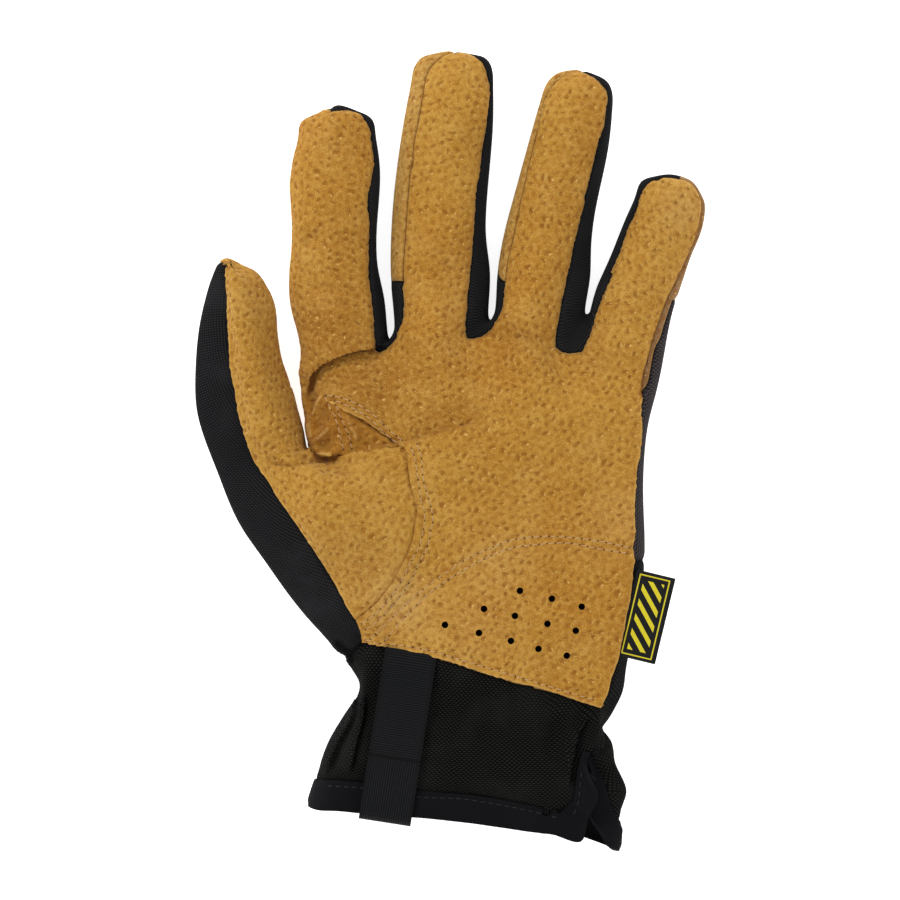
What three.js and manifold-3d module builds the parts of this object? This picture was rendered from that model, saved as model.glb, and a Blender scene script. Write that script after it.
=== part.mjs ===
// Mechanic's glove for the left hand, lying on its back with the palm up.
// Millimetres, +Z up, fingers towards +Y. The glove is a hollow skin of sewn panels:
// sections across the fingers and the hand give a coarse net, the net is rounded by
// subdivision, and each panel of it becomes a wall of its own with a gap at the seams.

import * as THREE from 'three';
import { mergeVertices } from 'three/addons/utils/BufferGeometryUtils.js';
import Module from 'manifold-3d';

const wasm = await Module();
wasm.setup();

// Driving dimensions

const indexLength = 74.7;
const middleLength = 86.1;
const ringLength = 81.6;
const pinkyLength = 57.5;
const thumbLength = 63.2;

const indexWidth = 27.4;
const middleWidth = 29.4;
const ringWidth = 26.4;
const pinkyWidth = 24.4;
const thumbWidth = 30;

const fingerDepth = 21;
const thumbDepth = 25;
const webGap = 1.8;

const palmWidth = 102;
const palmLength = 105;
const palmDepth = 27;
const thumbPadRise = 3;

const cuffLength = 45.2;
const cuffWidth = 92;
const cuffDepth = 34;
const cuffTilt = 14.6;
const bindingWidth = 7.8;

const leatherWall = 1.4;
const stretchWall = 1.2;
const cuffWall = 1.6;
const bindingProud = 0.3;
const seamGap = 0.34;

const foldDepth = 1.6;
const foldWidth = 4.5;
const gatherDepth = 0.9;
const gatherCount = 26;

const ventDiameter = 2.1;
const ventPitch = 9.7;
const ventRowPitch = 8.1;

const loopWidth = 16;
const loopThickness = 1.5;
const loopReturn = 11;

const labelWidth = 11;
const labelLength = 27;
const labelThickness = 0.9;

// Tables with named columns: lengths are shares of the sizes named beside each table

function table(columns, rows) {
  const names = columns.split(' ');
  return rows.map((row) => Object.fromEntries(names.map((name, i) => [name, row[i]])));
}

// Finger sections from root to tip. along is a share of the finger's length, the four
// places across are shares of its width, height and lift are shares of its depth.
const fingerColumns = 'along sideLeft seamLeft seamRight sideRight height lift';

const indexSections = table(fingerColumns, [
  [0.0, -0.45, -0.35, 0.44, 0.555, 1.12, 0.0],
  [0.17, -0.53, -0.4, 0.39, 0.515, 1.04, 0.0],
  [0.34, -0.565, -0.44, 0.36, 0.435, 1.0, 0.0],
  [0.52, -0.54, -0.43, 0.36, 0.435, 0.98, 0.02],
  [0.72, -0.515, -0.41, 0.395, 0.475, 0.94, 0.05],
  [0.88, -0.465, -0.35, 0.33, 0.43, 0.86, 0.09],
  [0.955, -0.35, -0.25, 0.24, 0.335, 0.62, 0.2],
]);

const middleSections = table(fingerColumns, [
  [0.0, -0.43, -0.36, 0.35, 0.555, 1.14, 0.0],
  [0.17, -0.5, -0.385, 0.335, 0.545, 1.06, 0.0],
  [0.34, -0.535, -0.38, 0.34, 0.47, 1.0, 0.0],
  [0.52, -0.527, -0.38, 0.345, 0.46, 1.0, 0.02],
  [0.72, -0.485, -0.343, 0.4, 0.47, 0.98, 0.05],
  [0.88, -0.43, -0.28, 0.39, 0.445, 0.9, 0.09],
  [0.955, -0.365, -0.215, 0.32, 0.36, 0.64, 0.2],
]);

const ringSections = table(fingerColumns, [
  [0.0, -0.41, -0.35, 0.37, 0.636, 1.12, 0.0],
  [0.17, -0.46, -0.37, 0.355, 0.625, 1.04, 0.0],
  [0.34, -0.47, -0.367, 0.367, 0.567, 1.0, 0.0],
  [0.52, -0.427, -0.35, 0.405, 0.542, 0.98, 0.02],
  [0.72, -0.37, -0.31, 0.458, 0.56, 0.95, 0.05],
  [0.88, -0.325, -0.245, 0.458, 0.523, 0.88, 0.09],
  [0.955, -0.25, -0.165, 0.37, 0.43, 0.62, 0.2],
]);

const pinkySections = table(fingerColumns, [
  [0.0, -0.47, -0.43, 0.46, 0.62, 1.08, 0.0],
  [0.17, -0.49, -0.41, 0.455, 0.56, 1.02, 0.0],
  [0.34, -0.475, -0.385, 0.45, 0.515, 0.98, 0.01],
  [0.52, -0.445, -0.36, 0.47, 0.53, 0.95, 0.03],
  [0.72, -0.418, -0.33, 0.5, 0.561, 0.9, 0.06],
  [0.88, -0.36, -0.27, 0.44, 0.508, 0.84, 0.1],
  [0.955, -0.26, -0.19, 0.33, 0.4, 0.6, 0.2],
]);

const thumbSections = table(fingerColumns, [
  [0.0, -0.67, -0.273, 0.31, 0.29, 0.88, 0.0],
  [0.17, -0.71, -0.31, 0.2, 0.31, 0.92, 0.0],
  [0.34, -0.715, -0.297, 0.17, 0.29, 0.92, 0.02],
  [0.52, -0.623, -0.26, 0.18, 0.31, 0.9, 0.06],
  [0.72, -0.47, -0.173, 0.22, 0.34, 0.84, 0.11],
  [0.88, -0.29, -0.097, 0.15, 0.27, 0.76, 0.16],
  [0.955, -0.187, -0.063, 0.06, 0.15, 0.5, 0.26],
]);

// Where the fingers leave the hand. reach is the root's height over the hand's centre, a
// share of the palm's length; the webs rise beside the root by a share of the finger's
// length; skew turns the root line; lean is in degrees from +Y towards +X.
const fingers = table('name length width depth sections reach lean webLeft webRight skew', [
  ['index', indexLength, indexWidth, fingerDepth, indexSections, 0.307, -0.5, 0, 0.054, 0],
  ['middle', middleLength, middleWidth, fingerDepth, middleSections, 0.363, 3.7, 0, 0.07, 0.02],
  ['ring', ringLength, ringWidth, fingerDepth, ringSections, 0.36, 10.3, 0.05, 0.12, 0.043],
  ['pinky', pinkyLength, pinkyWidth, fingerDepth, pinkySections, 0.295, 18.5, 0.19, 0, -0.05],
]);

const thumb = { name: 'thumb', length: thumbLength, width: thumbWidth, depth: thumbDepth,
  sections: thumbSections, lean: -15.1, webLeft: 0, webRight: -0.01, skew: 0 };

// Sections across the hand below the knuckles: x is a share of the palm's width and y of
// its length, from the hand's centre; the sides bulge out, the line between bows up, and
// the three heights are shares of the palm's depth.
const handSections = table('leftX leftY rightX rightY sideRight bow left middle right', [
  [-0.152, 0.015, 0.58, 0.059, 0.02, 0.062, 0.9, 0.94, 0.78],
  [-0.093, -0.148, 0.562, -0.118, 0.028, 0.035, 0.97, 0.86, 0.78],
  [-0.137, -0.33, 0.553, -0.313, 0.042, 0.038, 1.0, 0.86, 0.8],
  [-0.27, -0.493, 0.52, -0.526, 0.042, 0.03, 0.92, 0.95, 0.8],
  [-0.262, -0.576, 0.45, -0.759, 0.049, 0.03, 0.84, 0.96, 0.78],
]);

// Corners of the thumb's seam with the palm and of the gusset in the crotch, and the
// thumb's outer edge down to the wrist, in the same shares.
const gussetTop = table('x y height', [
  [-0.392, 0.159, 0.78],
  [-0.267, 0.109, 0.86],
]);
const gussetFoot = table('x y height', [
  [-0.328, -0.006, 0.8],
  [-0.24, 0.003, 0.86],
]);
const thumbEdge = table('x y sideX sideY height', [
  [-0.486, -0.195, -0.638, -0.212, 0.88],
  [-0.374, -0.363, -0.532, -0.363, 0.88],
]);
const wristEdge = table('sideX sideY', [
  [-0.412, -0.508],
  [-0.328, -0.608],
]);
const gussetSide = -0.055;

// Sections of the cuff from the wrist to the hem. The two alongs are shares of the cuff's
// length and the places across shares of its width; the line between bows up; flap is the
// back edge of the slit; depth is a share of the cuff's depth.
const cuffColumns =
  'leftAlong left sideLeft rightAlong right sideAlong sideRight flapAlong flap bow depth';
const cuffSections = table(cuffColumns, [
  [0.24, -0.363, -0.395, 0.157, 0.413, 0.115, 0.45, 0, 0, 0, 0.78],
  [0.47, -0.383, -0.428, 0.334, 0.409, 0.274, 0.51, 0, 0, 0, 0.86],
  [0.72, -0.396, -0.44, 0.524, 0.467, 0.49, 0.56, 0.504, 0.495, 0.02, 0.94],
  [1.128, -0.409, -0.458, 0.872, 0.463, 0.883, 0.6, 0.84, 0.57, 0.055, 1.0],
]);

// Folds and dents in the leather: each runs through three points given in shares of the
// palm's width and length; size is a share of the fold depth, plus for a raised roll.
const folds = table('x1 y1 x2 y2 x3 y3 size', [
  [-0.445, 0.18, -0.32, 0.29, -0.225, 0.31, -1.0],
  [-0.445, 0.22, -0.435, 0.14, -0.42, 0.1, -0.8],
  [-0.33, -0.01, -0.15, 0.025, 0.14, 0.09, -0.9],
  [-0.3, -0.05, -0.12, -0.02, 0.14, 0.045, 0.55],
  [-0.58, -0.03, -0.49, -0.05, -0.36, -0.03, -0.7],
  [0.03, 0.34, 0.19, 0.335, 0.33, 0.28, -0.7],
  [-0.44, 0.47, -0.34, 0.47, -0.24, 0.46, -0.5],
  [-0.46, 0.59, -0.41, 0.64, -0.37, 0.66, -0.5],
  [0.43, 0.355, 0.5, 0.38, 0.57, 0.37, -0.5],
]);

// Share of a section's depth at its top seam, side and bottom seam
const seamShare = 0.8;
const sideShare = 0.46;
const soleShare = 0.12;
const crownShare = 1.0;

// Points of the net

const radians = (degrees) => degrees * Math.PI / 180;
const lerp = (a, b, t) => a + (b - a) * t;

function mixPoint(p, q, t) {
  return { x: lerp(p.x, q.x, t), y: lerp(p.y, q.y, t), z: lerp(p.z, q.z, t) };
}

// A net node has a point on the top and on the bottom; on the glove's outline it has one
// on the side too.
function mixNode(a, b, t) {
  const node = { top: mixPoint(a.top, b.top, t), bottom: mixPoint(a.bottom, b.bottom, t) };
  if (a.side && b.side) node.side = mixPoint(a.side, b.side, t);
  return node;
}

function fingerPoint(finger, along, across, z) {
  const lean = radians(finger.lean);
  return {
    x: finger.x + along * finger.length * Math.sin(lean) + across * Math.cos(lean),
    y: finger.y + along * finger.length * Math.cos(lean) - across * Math.sin(lean),
    z,
  };
}

// Webs rise most at the root and fade over the first sections
const webFade = [1, 0.62, 0.25, 0, 0, 0, 0];
const tipReach = 1.012;
const tipCrown = 0.018;

// Rows of nodes from a finger's root to its tip, left to right
function fingerRows(finger, columnCount) {
  return finger.sections.map((section, rowIndex) => {
    const tip = rowIndex === finger.sections.length - 1;
    const base = section.lift * finger.depth;
    const tall = section.height * finger.depth;
    const height = (share) => base + share * tall;
    return Array.from({ length: columnCount + 1 }, (_, column) => {
      const t = column / columnCount;
      const end = t === 0 || t === 1;
      const skew = rowIndex === 0 ? finger.skew * (1 - 2 * t) : 0;
      const crown = tip ? tipCrown * 4 * t * (1 - t) : 0;
      const across = lerp(section.seamLeft, section.seamRight, t) * finger.width;
      const along = section.along + skew + crown;
      const node = {
        top: fingerPoint(finger, along, across, height(end ? seamShare : crownShare)),
        bottom: fingerPoint(finger, along, across, height(end ? soleShare : 0)),
      };
      if (end || tip) {
        const web = (t < 0.5 ? finger.webLeft : finger.webRight) * webFade[rowIndex];
        const sideAlong = end ? section.along + web : tipReach;
        const sideAcross = lerp(section.sideLeft, section.sideRight, t) * finger.width;
        node.side = fingerPoint(finger, sideAlong, sideAcross, height(sideShare));
      }
      return node;
    });
  });
}

// The fingers stand side by side along the knuckles, a web apart. The middle finger's and
// the thumb's roots are given from the hand's centre, in shares of the palm's width and length.
const middleRoot = -0.042;
const thumbRoot = { x: -0.511, y: -0.015 };

function placeFingers() {
  for (const finger of fingers) finger.y = finger.reach * palmLength;
  const reachX = (finger, end) => {
    const root = finger.sections[0];
    const across = (end > 0 ? root.sideRight : root.sideLeft) * finger.width;
    const along = end > 0 ? finger.webRight : finger.webLeft;
    return fingerPoint({ ...finger, x: 0, y: 0 }, along, across, 0).x;
  };
  const [index, middle, ring, pinky] = fingers;
  middle.x = middleRoot * palmWidth;
  index.x = middle.x + reachX(middle, -1) - webGap - reachX(index, 1);
  ring.x = middle.x + reachX(middle, 1) + webGap - reachX(ring, -1);
  pinky.x = ring.x + reachX(ring, 1) + webGap - reachX(pinky, -1);
  thumb.x = thumbRoot.x * palmWidth;
  thumb.y = thumbRoot.y * palmLength;
}

placeFingers();
const fingerColumnCount = 2;
const thumbColumnCount = 3;
const fingerNets = fingers.map((finger) => fingerRows(finger, fingerColumnCount));
const thumbNet = fingerRows(thumb, thumbColumnCount);

function palmNode(x, y, height, bottomShare = 0) {
  const place = { x: x * palmWidth, y: y * palmLength };
  return {
    top: { ...place, z: height * palmDepth },
    bottom: { ...place, z: bottomShare * palmDepth },
  };
}

const handColumnCount = 9;

// How soon a section turns down from its middle to its sides
const crownPower = 2.5;

// A curve through the left, middle and right heights of a section
function heightAcross(section, t) {
  const edge = t < 0.5 ? section.left : section.right;
  return lerp(section.middle, edge, Math.abs(2 * t - 1) ** crownPower);
}

// Rows across the hand from the gusset down to the leather's lower edge
const handNet = handSections.map((section) => {
  return Array.from({ length: handColumnCount + 1 }, (_, column) => {
    const t = column / handColumnCount;
    const x = lerp(section.leftX, section.rightX, t);
    const y = lerp(section.leftY, section.rightY, t) + section.bow * 4 * t * (1 - t);
    const node = palmNode(x, y, heightAcross(section, t), t === 1 ? soleShare : 0);
    if (t === 1) {
      const sideX = (x + section.sideRight) * palmWidth;
      node.side = { x: sideX, y: y * palmLength, z: sideShare * palmDepth };
    }
    return node;
  });
});

// Gusset corners, and the thumb's outer edge from its root to the wrist
const [gussetLeft, gussetMiddle] = gussetTop.map((row) => palmNode(row.x, row.y, row.height));
gussetLeft.bottom.z = soleShare * palmDepth;
gussetLeft.side = { x: gussetLeft.top.x + gussetSide * palmWidth, y: gussetLeft.top.y,
  z: sideShare * palmDepth };
const gussetFeet = gussetFoot.map((row) => palmNode(row.x, row.y, row.height));

function sidePoint(row) {
  return { x: row.sideX * palmWidth, y: row.sideY * palmLength, z: sideShare * palmDepth };
}

const outerEdge = thumbEdge.map((row) => {
  return { ...palmNode(row.x, row.y, row.height, soleShare), side: sidePoint(row) };
});
const wristRow = handSections.length - wristEdge.length;
wristEdge.forEach((row, i) => {
  const node = handNet[wristRow + i][0];
  node.side = sidePoint(row);
  node.bottom.z = soleShare * palmDepth;
});

// First row of the hand from the index finger to the little finger
const rootRow = fingerNets.flatMap((net) => net[0]);
const gussetRow = [gussetLeft, gussetMiddle, ...handNet[0]];
const knuckleShare = 0.45;
const knuckleRow = rootRow.map((node, i) => mixNode(node, gussetRow[i], knuckleShare));

// Thumb pad: a patch between the thumb's root, the gusset, the palm seam and the outer
// edge, with three spans along each side
const padTop = [thumbNet[0][3], ...gussetFeet, handNet[0][0]];
const padLeft = [thumbNet[0][0], ...outerEdge, handNet[wristRow][0]];
const padRight = handNet.slice(0, wristRow + 1).map((row) => row[0]);
const padSpans = 3;

function coonsPoint(level, i, j) {
  const u = i / padSpans;
  const v = j / padSpans;
  const [near, far] = [thumbNet[0][i][level], padRight[i][level]];
  const [first, last] = [padLeft[j][level], padTop[j][level]];
  const ends = [padLeft[0], padTop[0], padLeft[padSpans], padTop[padSpans]];
  const corners = ends.map((node) => node[level]);
  const blend = (axis) => lerp(near[axis], far[axis], v) + lerp(first[axis], last[axis], u)
    - lerp(lerp(corners[0][axis], corners[1][axis], u),
      lerp(corners[2][axis], corners[3][axis], u), v);
  return { x: blend('x'), y: blend('y'), z: blend('z') };
}

// padRight runs from the gusset to the wrist; seen from the thumb's root it is reversed
padRight.reverse();
const padSteps = Array.from({ length: padSpans + 1 }, (_, i) => i);
const padNet = padSteps.map((j) => padSteps.map((i) => {
  if (j === 0) return thumbNet[0][i];
  if (j === padSpans) return padRight[i];
  if (i === 0) return padLeft[j];
  if (i === padSpans) return padTop[j];
  const top = coonsPoint('top', i, j);
  const bottom = coonsPoint('bottom', i, j);
  top.z += thumbPadRise;
  bottom.z = 0;
  return { top, bottom };
}));

// Cuff rows, in a frame whose origin is the middle of the leather's lower edge

const heel = handNet[handNet.length - 1];
const cuffOrigin = mixPoint(heel[0].top, heel[handColumnCount].top, 0.5);

function cuffPoint(along, across, z) {
  const tilt = radians(cuffTilt);
  const down = along * cuffLength;
  const out = across * cuffWidth;
  return {
    x: cuffOrigin.x - down * Math.sin(tilt) + out * Math.cos(tilt),
    y: cuffOrigin.y - down * Math.cos(tilt) - out * Math.sin(tilt),
    z,
  };
}

// The row where the binding starts lies a binding's width above the hem
const hemRow = cuffSections[3];
const aboveHem = cuffSections[2];
const hemSpan = ((hemRow.leftAlong - aboveHem.leftAlong)
  + (hemRow.rightAlong - aboveHem.rightAlong)) / 2 * cuffLength;
const bindingShare = bindingWidth / hemSpan;
const bindingRow = Object.fromEntries(
  Object.keys(hemRow).map((key) => [key, lerp(hemRow[key], aboveHem[key], bindingShare)]));
const cuffRows = [...cuffSections.slice(0, 3), bindingRow, hemRow];
const slitRow = 1;
const slitBandShare = 0.85;
const flapSink = 0.04;

const cuffNet = cuffRows.map((row, rowIndex) => {
  const depth = row.depth * cuffDepth;
  const strip = rowIndex >= slitRow ? bindingWidth * slitBandShare / cuffWidth : 0;
  const inner = row.right - strip;
  return Array.from({ length: handColumnCount + 1 }, (_, column) => {
    const evenly = column / handColumnCount;
    const even = lerp(row.left, row.right, evenly);
    const crowded = lerp(row.left, inner, column / (handColumnCount - 1));
    const edge = column === 0 || column === handColumnCount;
    const across = strip === 0 || column === handColumnCount ? even : crowded;
    const along = lerp(row.leftAlong, row.rightAlong, evenly)
      - row.bow * 4 * evenly * (1 - evenly);
    const bulge = 1 - Math.abs(2 * evenly - 1) ** crownPower * (1 - seamShare);
    const node = {
      top: cuffPoint(along, across, depth * bulge),
      bottom: cuffPoint(along, across, edge ? soleShare * depth : 0),
    };
    if (column === 0) {
      node.side = cuffPoint(row.leftAlong, row.sideLeft, sideShare * depth);
    }
    if (column === handColumnCount) {
      node.side = cuffPoint(row.sideAlong, row.sideRight, sideShare * depth);
      if (rowIndex > slitRow) {
        node.flap = cuffPoint(row.flapAlong, row.flap, (seamShare - flapSink) * depth);
      }
    }
    return node;
  });
});

// The coarse net: points and four-sided faces with the panel they belong to

const net = { points: [], faces: [], panels: [] };
const pointIndex = new Map();

function pointId(point) {
  if (!pointIndex.has(point)) {
    pointIndex.set(point, net.points.length);
    net.points.push(new THREE.Vector3(point.x, point.y, point.z));
  }
  return pointIndex.get(point);
}

function addFace(points, panel) {
  net.faces.push(points.map(pointId));
  net.panels.push(panel);
}

// One cell of the hand: a face on top and one below it. Its nodes run anticlockwise.
function addCell(nodes, topPanel, bottomPanel) {
  addFace(nodes.map((node) => node.top), topPanel);
  addFace(nodes.map((node) => node.bottom).reverse(), bottomPanel);
}

// rows run away from the wrist and columns from left to right
function addSheet(rows, topPanel, bottomPanel) {
  for (let row = 0; row + 1 < rows.length; row += 1) {
    for (let column = 0; column + 1 < rows[row].length; column += 1) {
      const low = rows[row];
      const high = rows[row + 1];
      const nodes = [low[column], low[column + 1], high[column + 1], high[column]];
      addCell(nodes, topPanel, bottomPanel);
    }
  }
}

// Side walls along the outline, which runs anticlockwise
function addSide(chain, upperPanel, lowerPanel = upperPanel, topOf = (node) => node.top) {
  for (let i = 0; i + 1 < chain.length; i += 1) {
    const [from, to] = [chain[i], chain[i + 1]];
    addFace([topOf(to), topOf(from), from.side, to.side], upperPanel);
    addFace([to.side, from.side, from.bottom, to.bottom], lowerPanel);
  }
}

const leftOf = (rows) => rows.map((row) => row[0]);
const rightOf = (rows) => rows.map((row) => row[row.length - 1]);
const [indexNet, middleNet, ringNet, pinkyNet] = fingerNets;

// Row of the hand from which the cuff's cloth makes its back
const cuffBackRow = wristRow - 1;

for (const rows of fingerNets) addSheet(rows, 'palm_panel', 'hand_back');
addSheet([gussetRow, knuckleRow, rootRow], 'palm_panel', 'hand_back');
addSheet(handNet.slice(0, cuffBackRow + 1).reverse(), 'palm_panel', 'hand_back');
addSheet(handNet.slice(cuffBackRow).reverse(), 'palm_panel', 'cuff');
addSheet(thumbNet, 'thumb_panel', 'thumb_back');
addSheet(padNet.slice().reverse(), 'thumb_panel', 'thumb_back');
addCell([thumbNet[0][3], gussetFeet[0], gussetMiddle, gussetLeft], 'thumb_gusset', 'hand_back');
addCell([gussetFeet[0], gussetFeet[1], handNet[0][0], gussetMiddle], 'thumb_gusset', 'hand_back');

function addTip(rows, panels) {
  const tip = rows[rows.length - 1].slice().reverse();
  panels.forEach((panel, i) => addSide(tip.slice(i, i + 2), panel));
}

// Little finger, ring, middle and index, then the thumb
const pinkyRight = rightOf([handNet[0], knuckleRow, ...pinkyNet]);
addSide(pinkyRight.slice(1), 'pinky_side_strip');
addTip(pinkyNet, ['pinky_side_strip', 'fourchette_ring_pinky']);
addSide([...leftOf(pinkyNet).reverse(), ...rightOf(ringNet)], 'fourchette_ring_pinky');
addTip(ringNet, ['fourchette_ring_pinky', 'ring_side_strip']);
addSide(leftOf(ringNet).slice(1).reverse(), 'ring_side_strip', 'fourchette_middle_ring');
addSide([ringNet[1][0], ringNet[0][0], ...rightOf(middleNet)], 'fourchette_middle_ring');
addTip(middleNet, ['fourchette_middle_ring', 'middle_side_strip']);
addSide(leftOf(middleNet).slice(1).reverse(), 'middle_side_strip', 'fourchette_index_middle');
addSide([middleNet[1][0], middleNet[0][0], ...rightOf(indexNet)], 'fourchette_index_middle');
addTip(indexNet, ['fourchette_index_middle', 'palm_panel']);
addSide([...leftOf(indexNet).reverse(), knuckleRow[0], gussetLeft], 'palm_panel');
addSide([gussetLeft, thumbNet[0][3]], 'thumb_gusset');
addSide(rightOf(thumbNet), 'thumb_panel');
addTip(thumbNet, ['thumb_panel', 'thumb_panel', 'thumb_back']);
addSide([...leftOf(thumbNet).reverse(), ...outerEdge, handNet[wristRow][0], heel[0]],
  'thumb_back');

// Outer side of the hand, from the cuff up to the little finger
addSide(rightOf(handNet.slice(cuffBackRow)).reverse(), 'cuff');
addSide(rightOf(handNet.slice(0, cuffBackRow + 1)).reverse(), 'hand_back');
addSide([handNet[0][handColumnCount], knuckleRow[knuckleRow.length - 1]], 'hand_back');

// The cuff, its bound hem and the bound edges of its slit
const allCuffRows = [heel, ...cuffNet];
for (let row = 0; row + 1 < allCuffRows.length; row += 1) {
  const hem = row + 2 === allCuffRows.length;
  for (let column = 0; column < handColumnCount; column += 1) {
    const [high, low] = [allCuffRows[row], allCuffRows[row + 1]];
    const nodes = [low[column], low[column + 1], high[column + 1], high[column]];
    const bound = hem || (row > slitRow && column === handColumnCount - 1);
    addCell(nodes, bound ? 'cuff_binding' : 'cuff', hem ? 'cuff_binding' : 'cuff');
  }
}
addSide(leftOf(allCuffRows.slice(0, 5)), 'cuff');
addSide(leftOf(allCuffRows.slice(4)), 'cuff_binding');
const cuffRight = rightOf(allCuffRows).reverse();
const flapEdge = (node) => node.flap ?? node.top;
addSide(cuffRight.slice(0, 2), 'cuff_binding', 'cuff_binding', flapEdge);
addSide(cuffRight.slice(1, 3), 'cuff_binding', 'cuff', flapEdge);
addSide(cuffRight.slice(2, 4), 'cuff', 'cuff', flapEdge);
addSide(cuffRight.slice(3), 'cuff');

// Subdivision of the net (Catmull-Clark), with its open edges kept

function edgeTable(mesh) {
  const edges = new Map();
  mesh.faces.forEach((face, faceIndex) => {
    face.forEach((from, i) => {
      const to = face[(i + 1) % face.length];
      const key = from < to ? `${from} ${to}` : `${to} ${from}`;
      if (!edges.has(key)) edges.set(key, { ends: [from, to], faces: [] });
      edges.get(key).faces.push(faceIndex);
    });
  });
  return edges;
}

function subdivide(mesh) {
  const edges = edgeTable(mesh);
  const average = (points) => {
    const sum = new THREE.Vector3();
    points.forEach((point) => sum.add(point));
    return sum.divideScalar(points.length);
  };
  const centres = mesh.faces.map((face) => average(face.map((i) => mesh.points[i])));
  const around = mesh.points.map(() => ({ faces: [], edges: [], open: [] }));
  mesh.faces.forEach((face, i) => face.forEach((vertex) => around[vertex].faces.push(centres[i])));
  const edgePoints = new Map();
  const points = mesh.points.map((point) => point.clone());
  for (const [key, edge] of edges) {
    const ends = edge.ends.map((i) => mesh.points[i]);
    const middle = average(ends);
    const open = edge.faces.length === 1;
    for (const vertex of edge.ends) {
      around[vertex].edges.push(middle);
      if (open) around[vertex].open.push(middle);
    }
    edgePoints.set(key, points.length);
    points.push(open ? middle : average([...ends, ...edge.faces.map((i) => centres[i])]));
  }
  mesh.points.forEach((point, i) => {
    const { faces, edges: spokes, open } = around[i];
    if (open.length === 2) {
      points[i] = average(open).multiplyScalar(0.5).addScaledVector(point, 0.5);
      return;
    }
    const n = faces.length;
    points[i] = average(faces).addScaledVector(average(spokes), 2)
      .addScaledVector(point, n - 3).divideScalar(n);
  });
  const firstCentre = points.length;
  points.push(...centres);
  const faces = [];
  const panels = [];
  mesh.faces.forEach((face, faceIndex) => {
    const edgeAt = face.map((from, i) => {
      const to = face[(i + 1) % face.length];
      return edgePoints.get(from < to ? `${from} ${to}` : `${to} ${from}`);
    });
    face.forEach((vertex, i) => {
      const before = edgeAt[(i + face.length - 1) % face.length];
      faces.push([vertex, edgeAt[i], firstCentre + faceIndex, before]);
      panels.push(mesh.panels[faceIndex]);
    });
  });
  return { points, faces, panels };
}

const fitRounds = 5;
const fitStep = 0.8;

// The net is moved out until its subdivided surface passes through the chosen points
function fitNet(mesh) {
  const targets = mesh.points.map((point) => point.clone());
  const fitted = { ...mesh, points: mesh.points.map((point) => point.clone()) };
  for (let round = 0; round < fitRounds; round += 1) {
    const rounded = subdivide(fitted).points;
    fitted.points.forEach((point, i) => {
      point.addScaledVector(targets[i].clone().sub(rounded[i]), fitStep);
    });
  }
  return fitted;
}

const skin = subdivide(fitNet(net));

function vertexNormals(mesh) {
  const normals = mesh.points.map(() => new THREE.Vector3());
  for (const face of mesh.faces) {
    const [a, b, c, d] = face.map((i) => mesh.points[i]);
    const normal = c.clone().sub(a).cross(d.clone().sub(b));
    face.forEach((i) => normals[i].add(normal));
  }
  normals.forEach((normal) => normal.normalize());
  return normals;
}

// Folds in the leather and gathers in the cuff push the skin in and out

function distanceToSegment(point, from, to) {
  const line = new THREE.Vector2().subVectors(to, from);
  const t = new THREE.Vector2().subVectors(point, from).dot(line) / line.lengthSq();
  return point.distanceTo(from.clone().addScaledVector(line, Math.min(1, Math.max(0, t))));
}

function foldOffset(point) {
  let offset = 0;
  const flat = new THREE.Vector2(point.x, point.y);
  for (const fold of folds) {
    const ends = [1, 2, 3].map((i) => new THREE.Vector2(fold[`x${i}`] * palmWidth,
      fold[`y${i}`] * palmLength));
    const away = Math.min(distanceToSegment(flat, ends[0], ends[1]),
      distanceToSegment(flat, ends[1], ends[2]));
    offset += fold.size * foldDepth * Math.exp(-((away / foldWidth) ** 2));
  }
  return offset;
}

const wristAlong = 0.2;
const gatherFade = 0.55;

function gatherOffset(point) {
  const tilt = radians(cuffTilt);
  const dx = point.x - cuffOrigin.x;
  const dy = point.y - cuffOrigin.y;
  const along = (-dx * Math.sin(tilt) - dy * Math.cos(tilt)) / cuffLength;
  const across = (dx * Math.cos(tilt) - dy * Math.sin(tilt)) / cuffWidth;
  const strength = Math.exp(-(((along - wristAlong) / gatherFade) ** 2));
  return gatherDepth * strength * Math.sin(gatherCount * Math.PI * across);
}

function shapeSkin() {
  const normals = vertexNormals(skin);
  const isCuff = skin.points.map(() => false);
  skin.faces.forEach((face, i) => {
    if (skin.panels[i].startsWith('cuff')) face.forEach((vertex) => { isCuff[vertex] = true; });
  });
  skin.points.forEach((point, i) => {
    const facing = Math.max(0, normals[i].z);
    const offset = isCuff[i] ? gatherOffset(point) : foldOffset(point) * facing;
    point.addScaledVector(normals[i], offset);
    point.z = Math.max(0, point.z);
  });
}

shapeSkin();
const skinNormals = vertexNormals(skin);

// Panels: the outer skin, the inner skin a wall further in, and the rim between them

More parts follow.
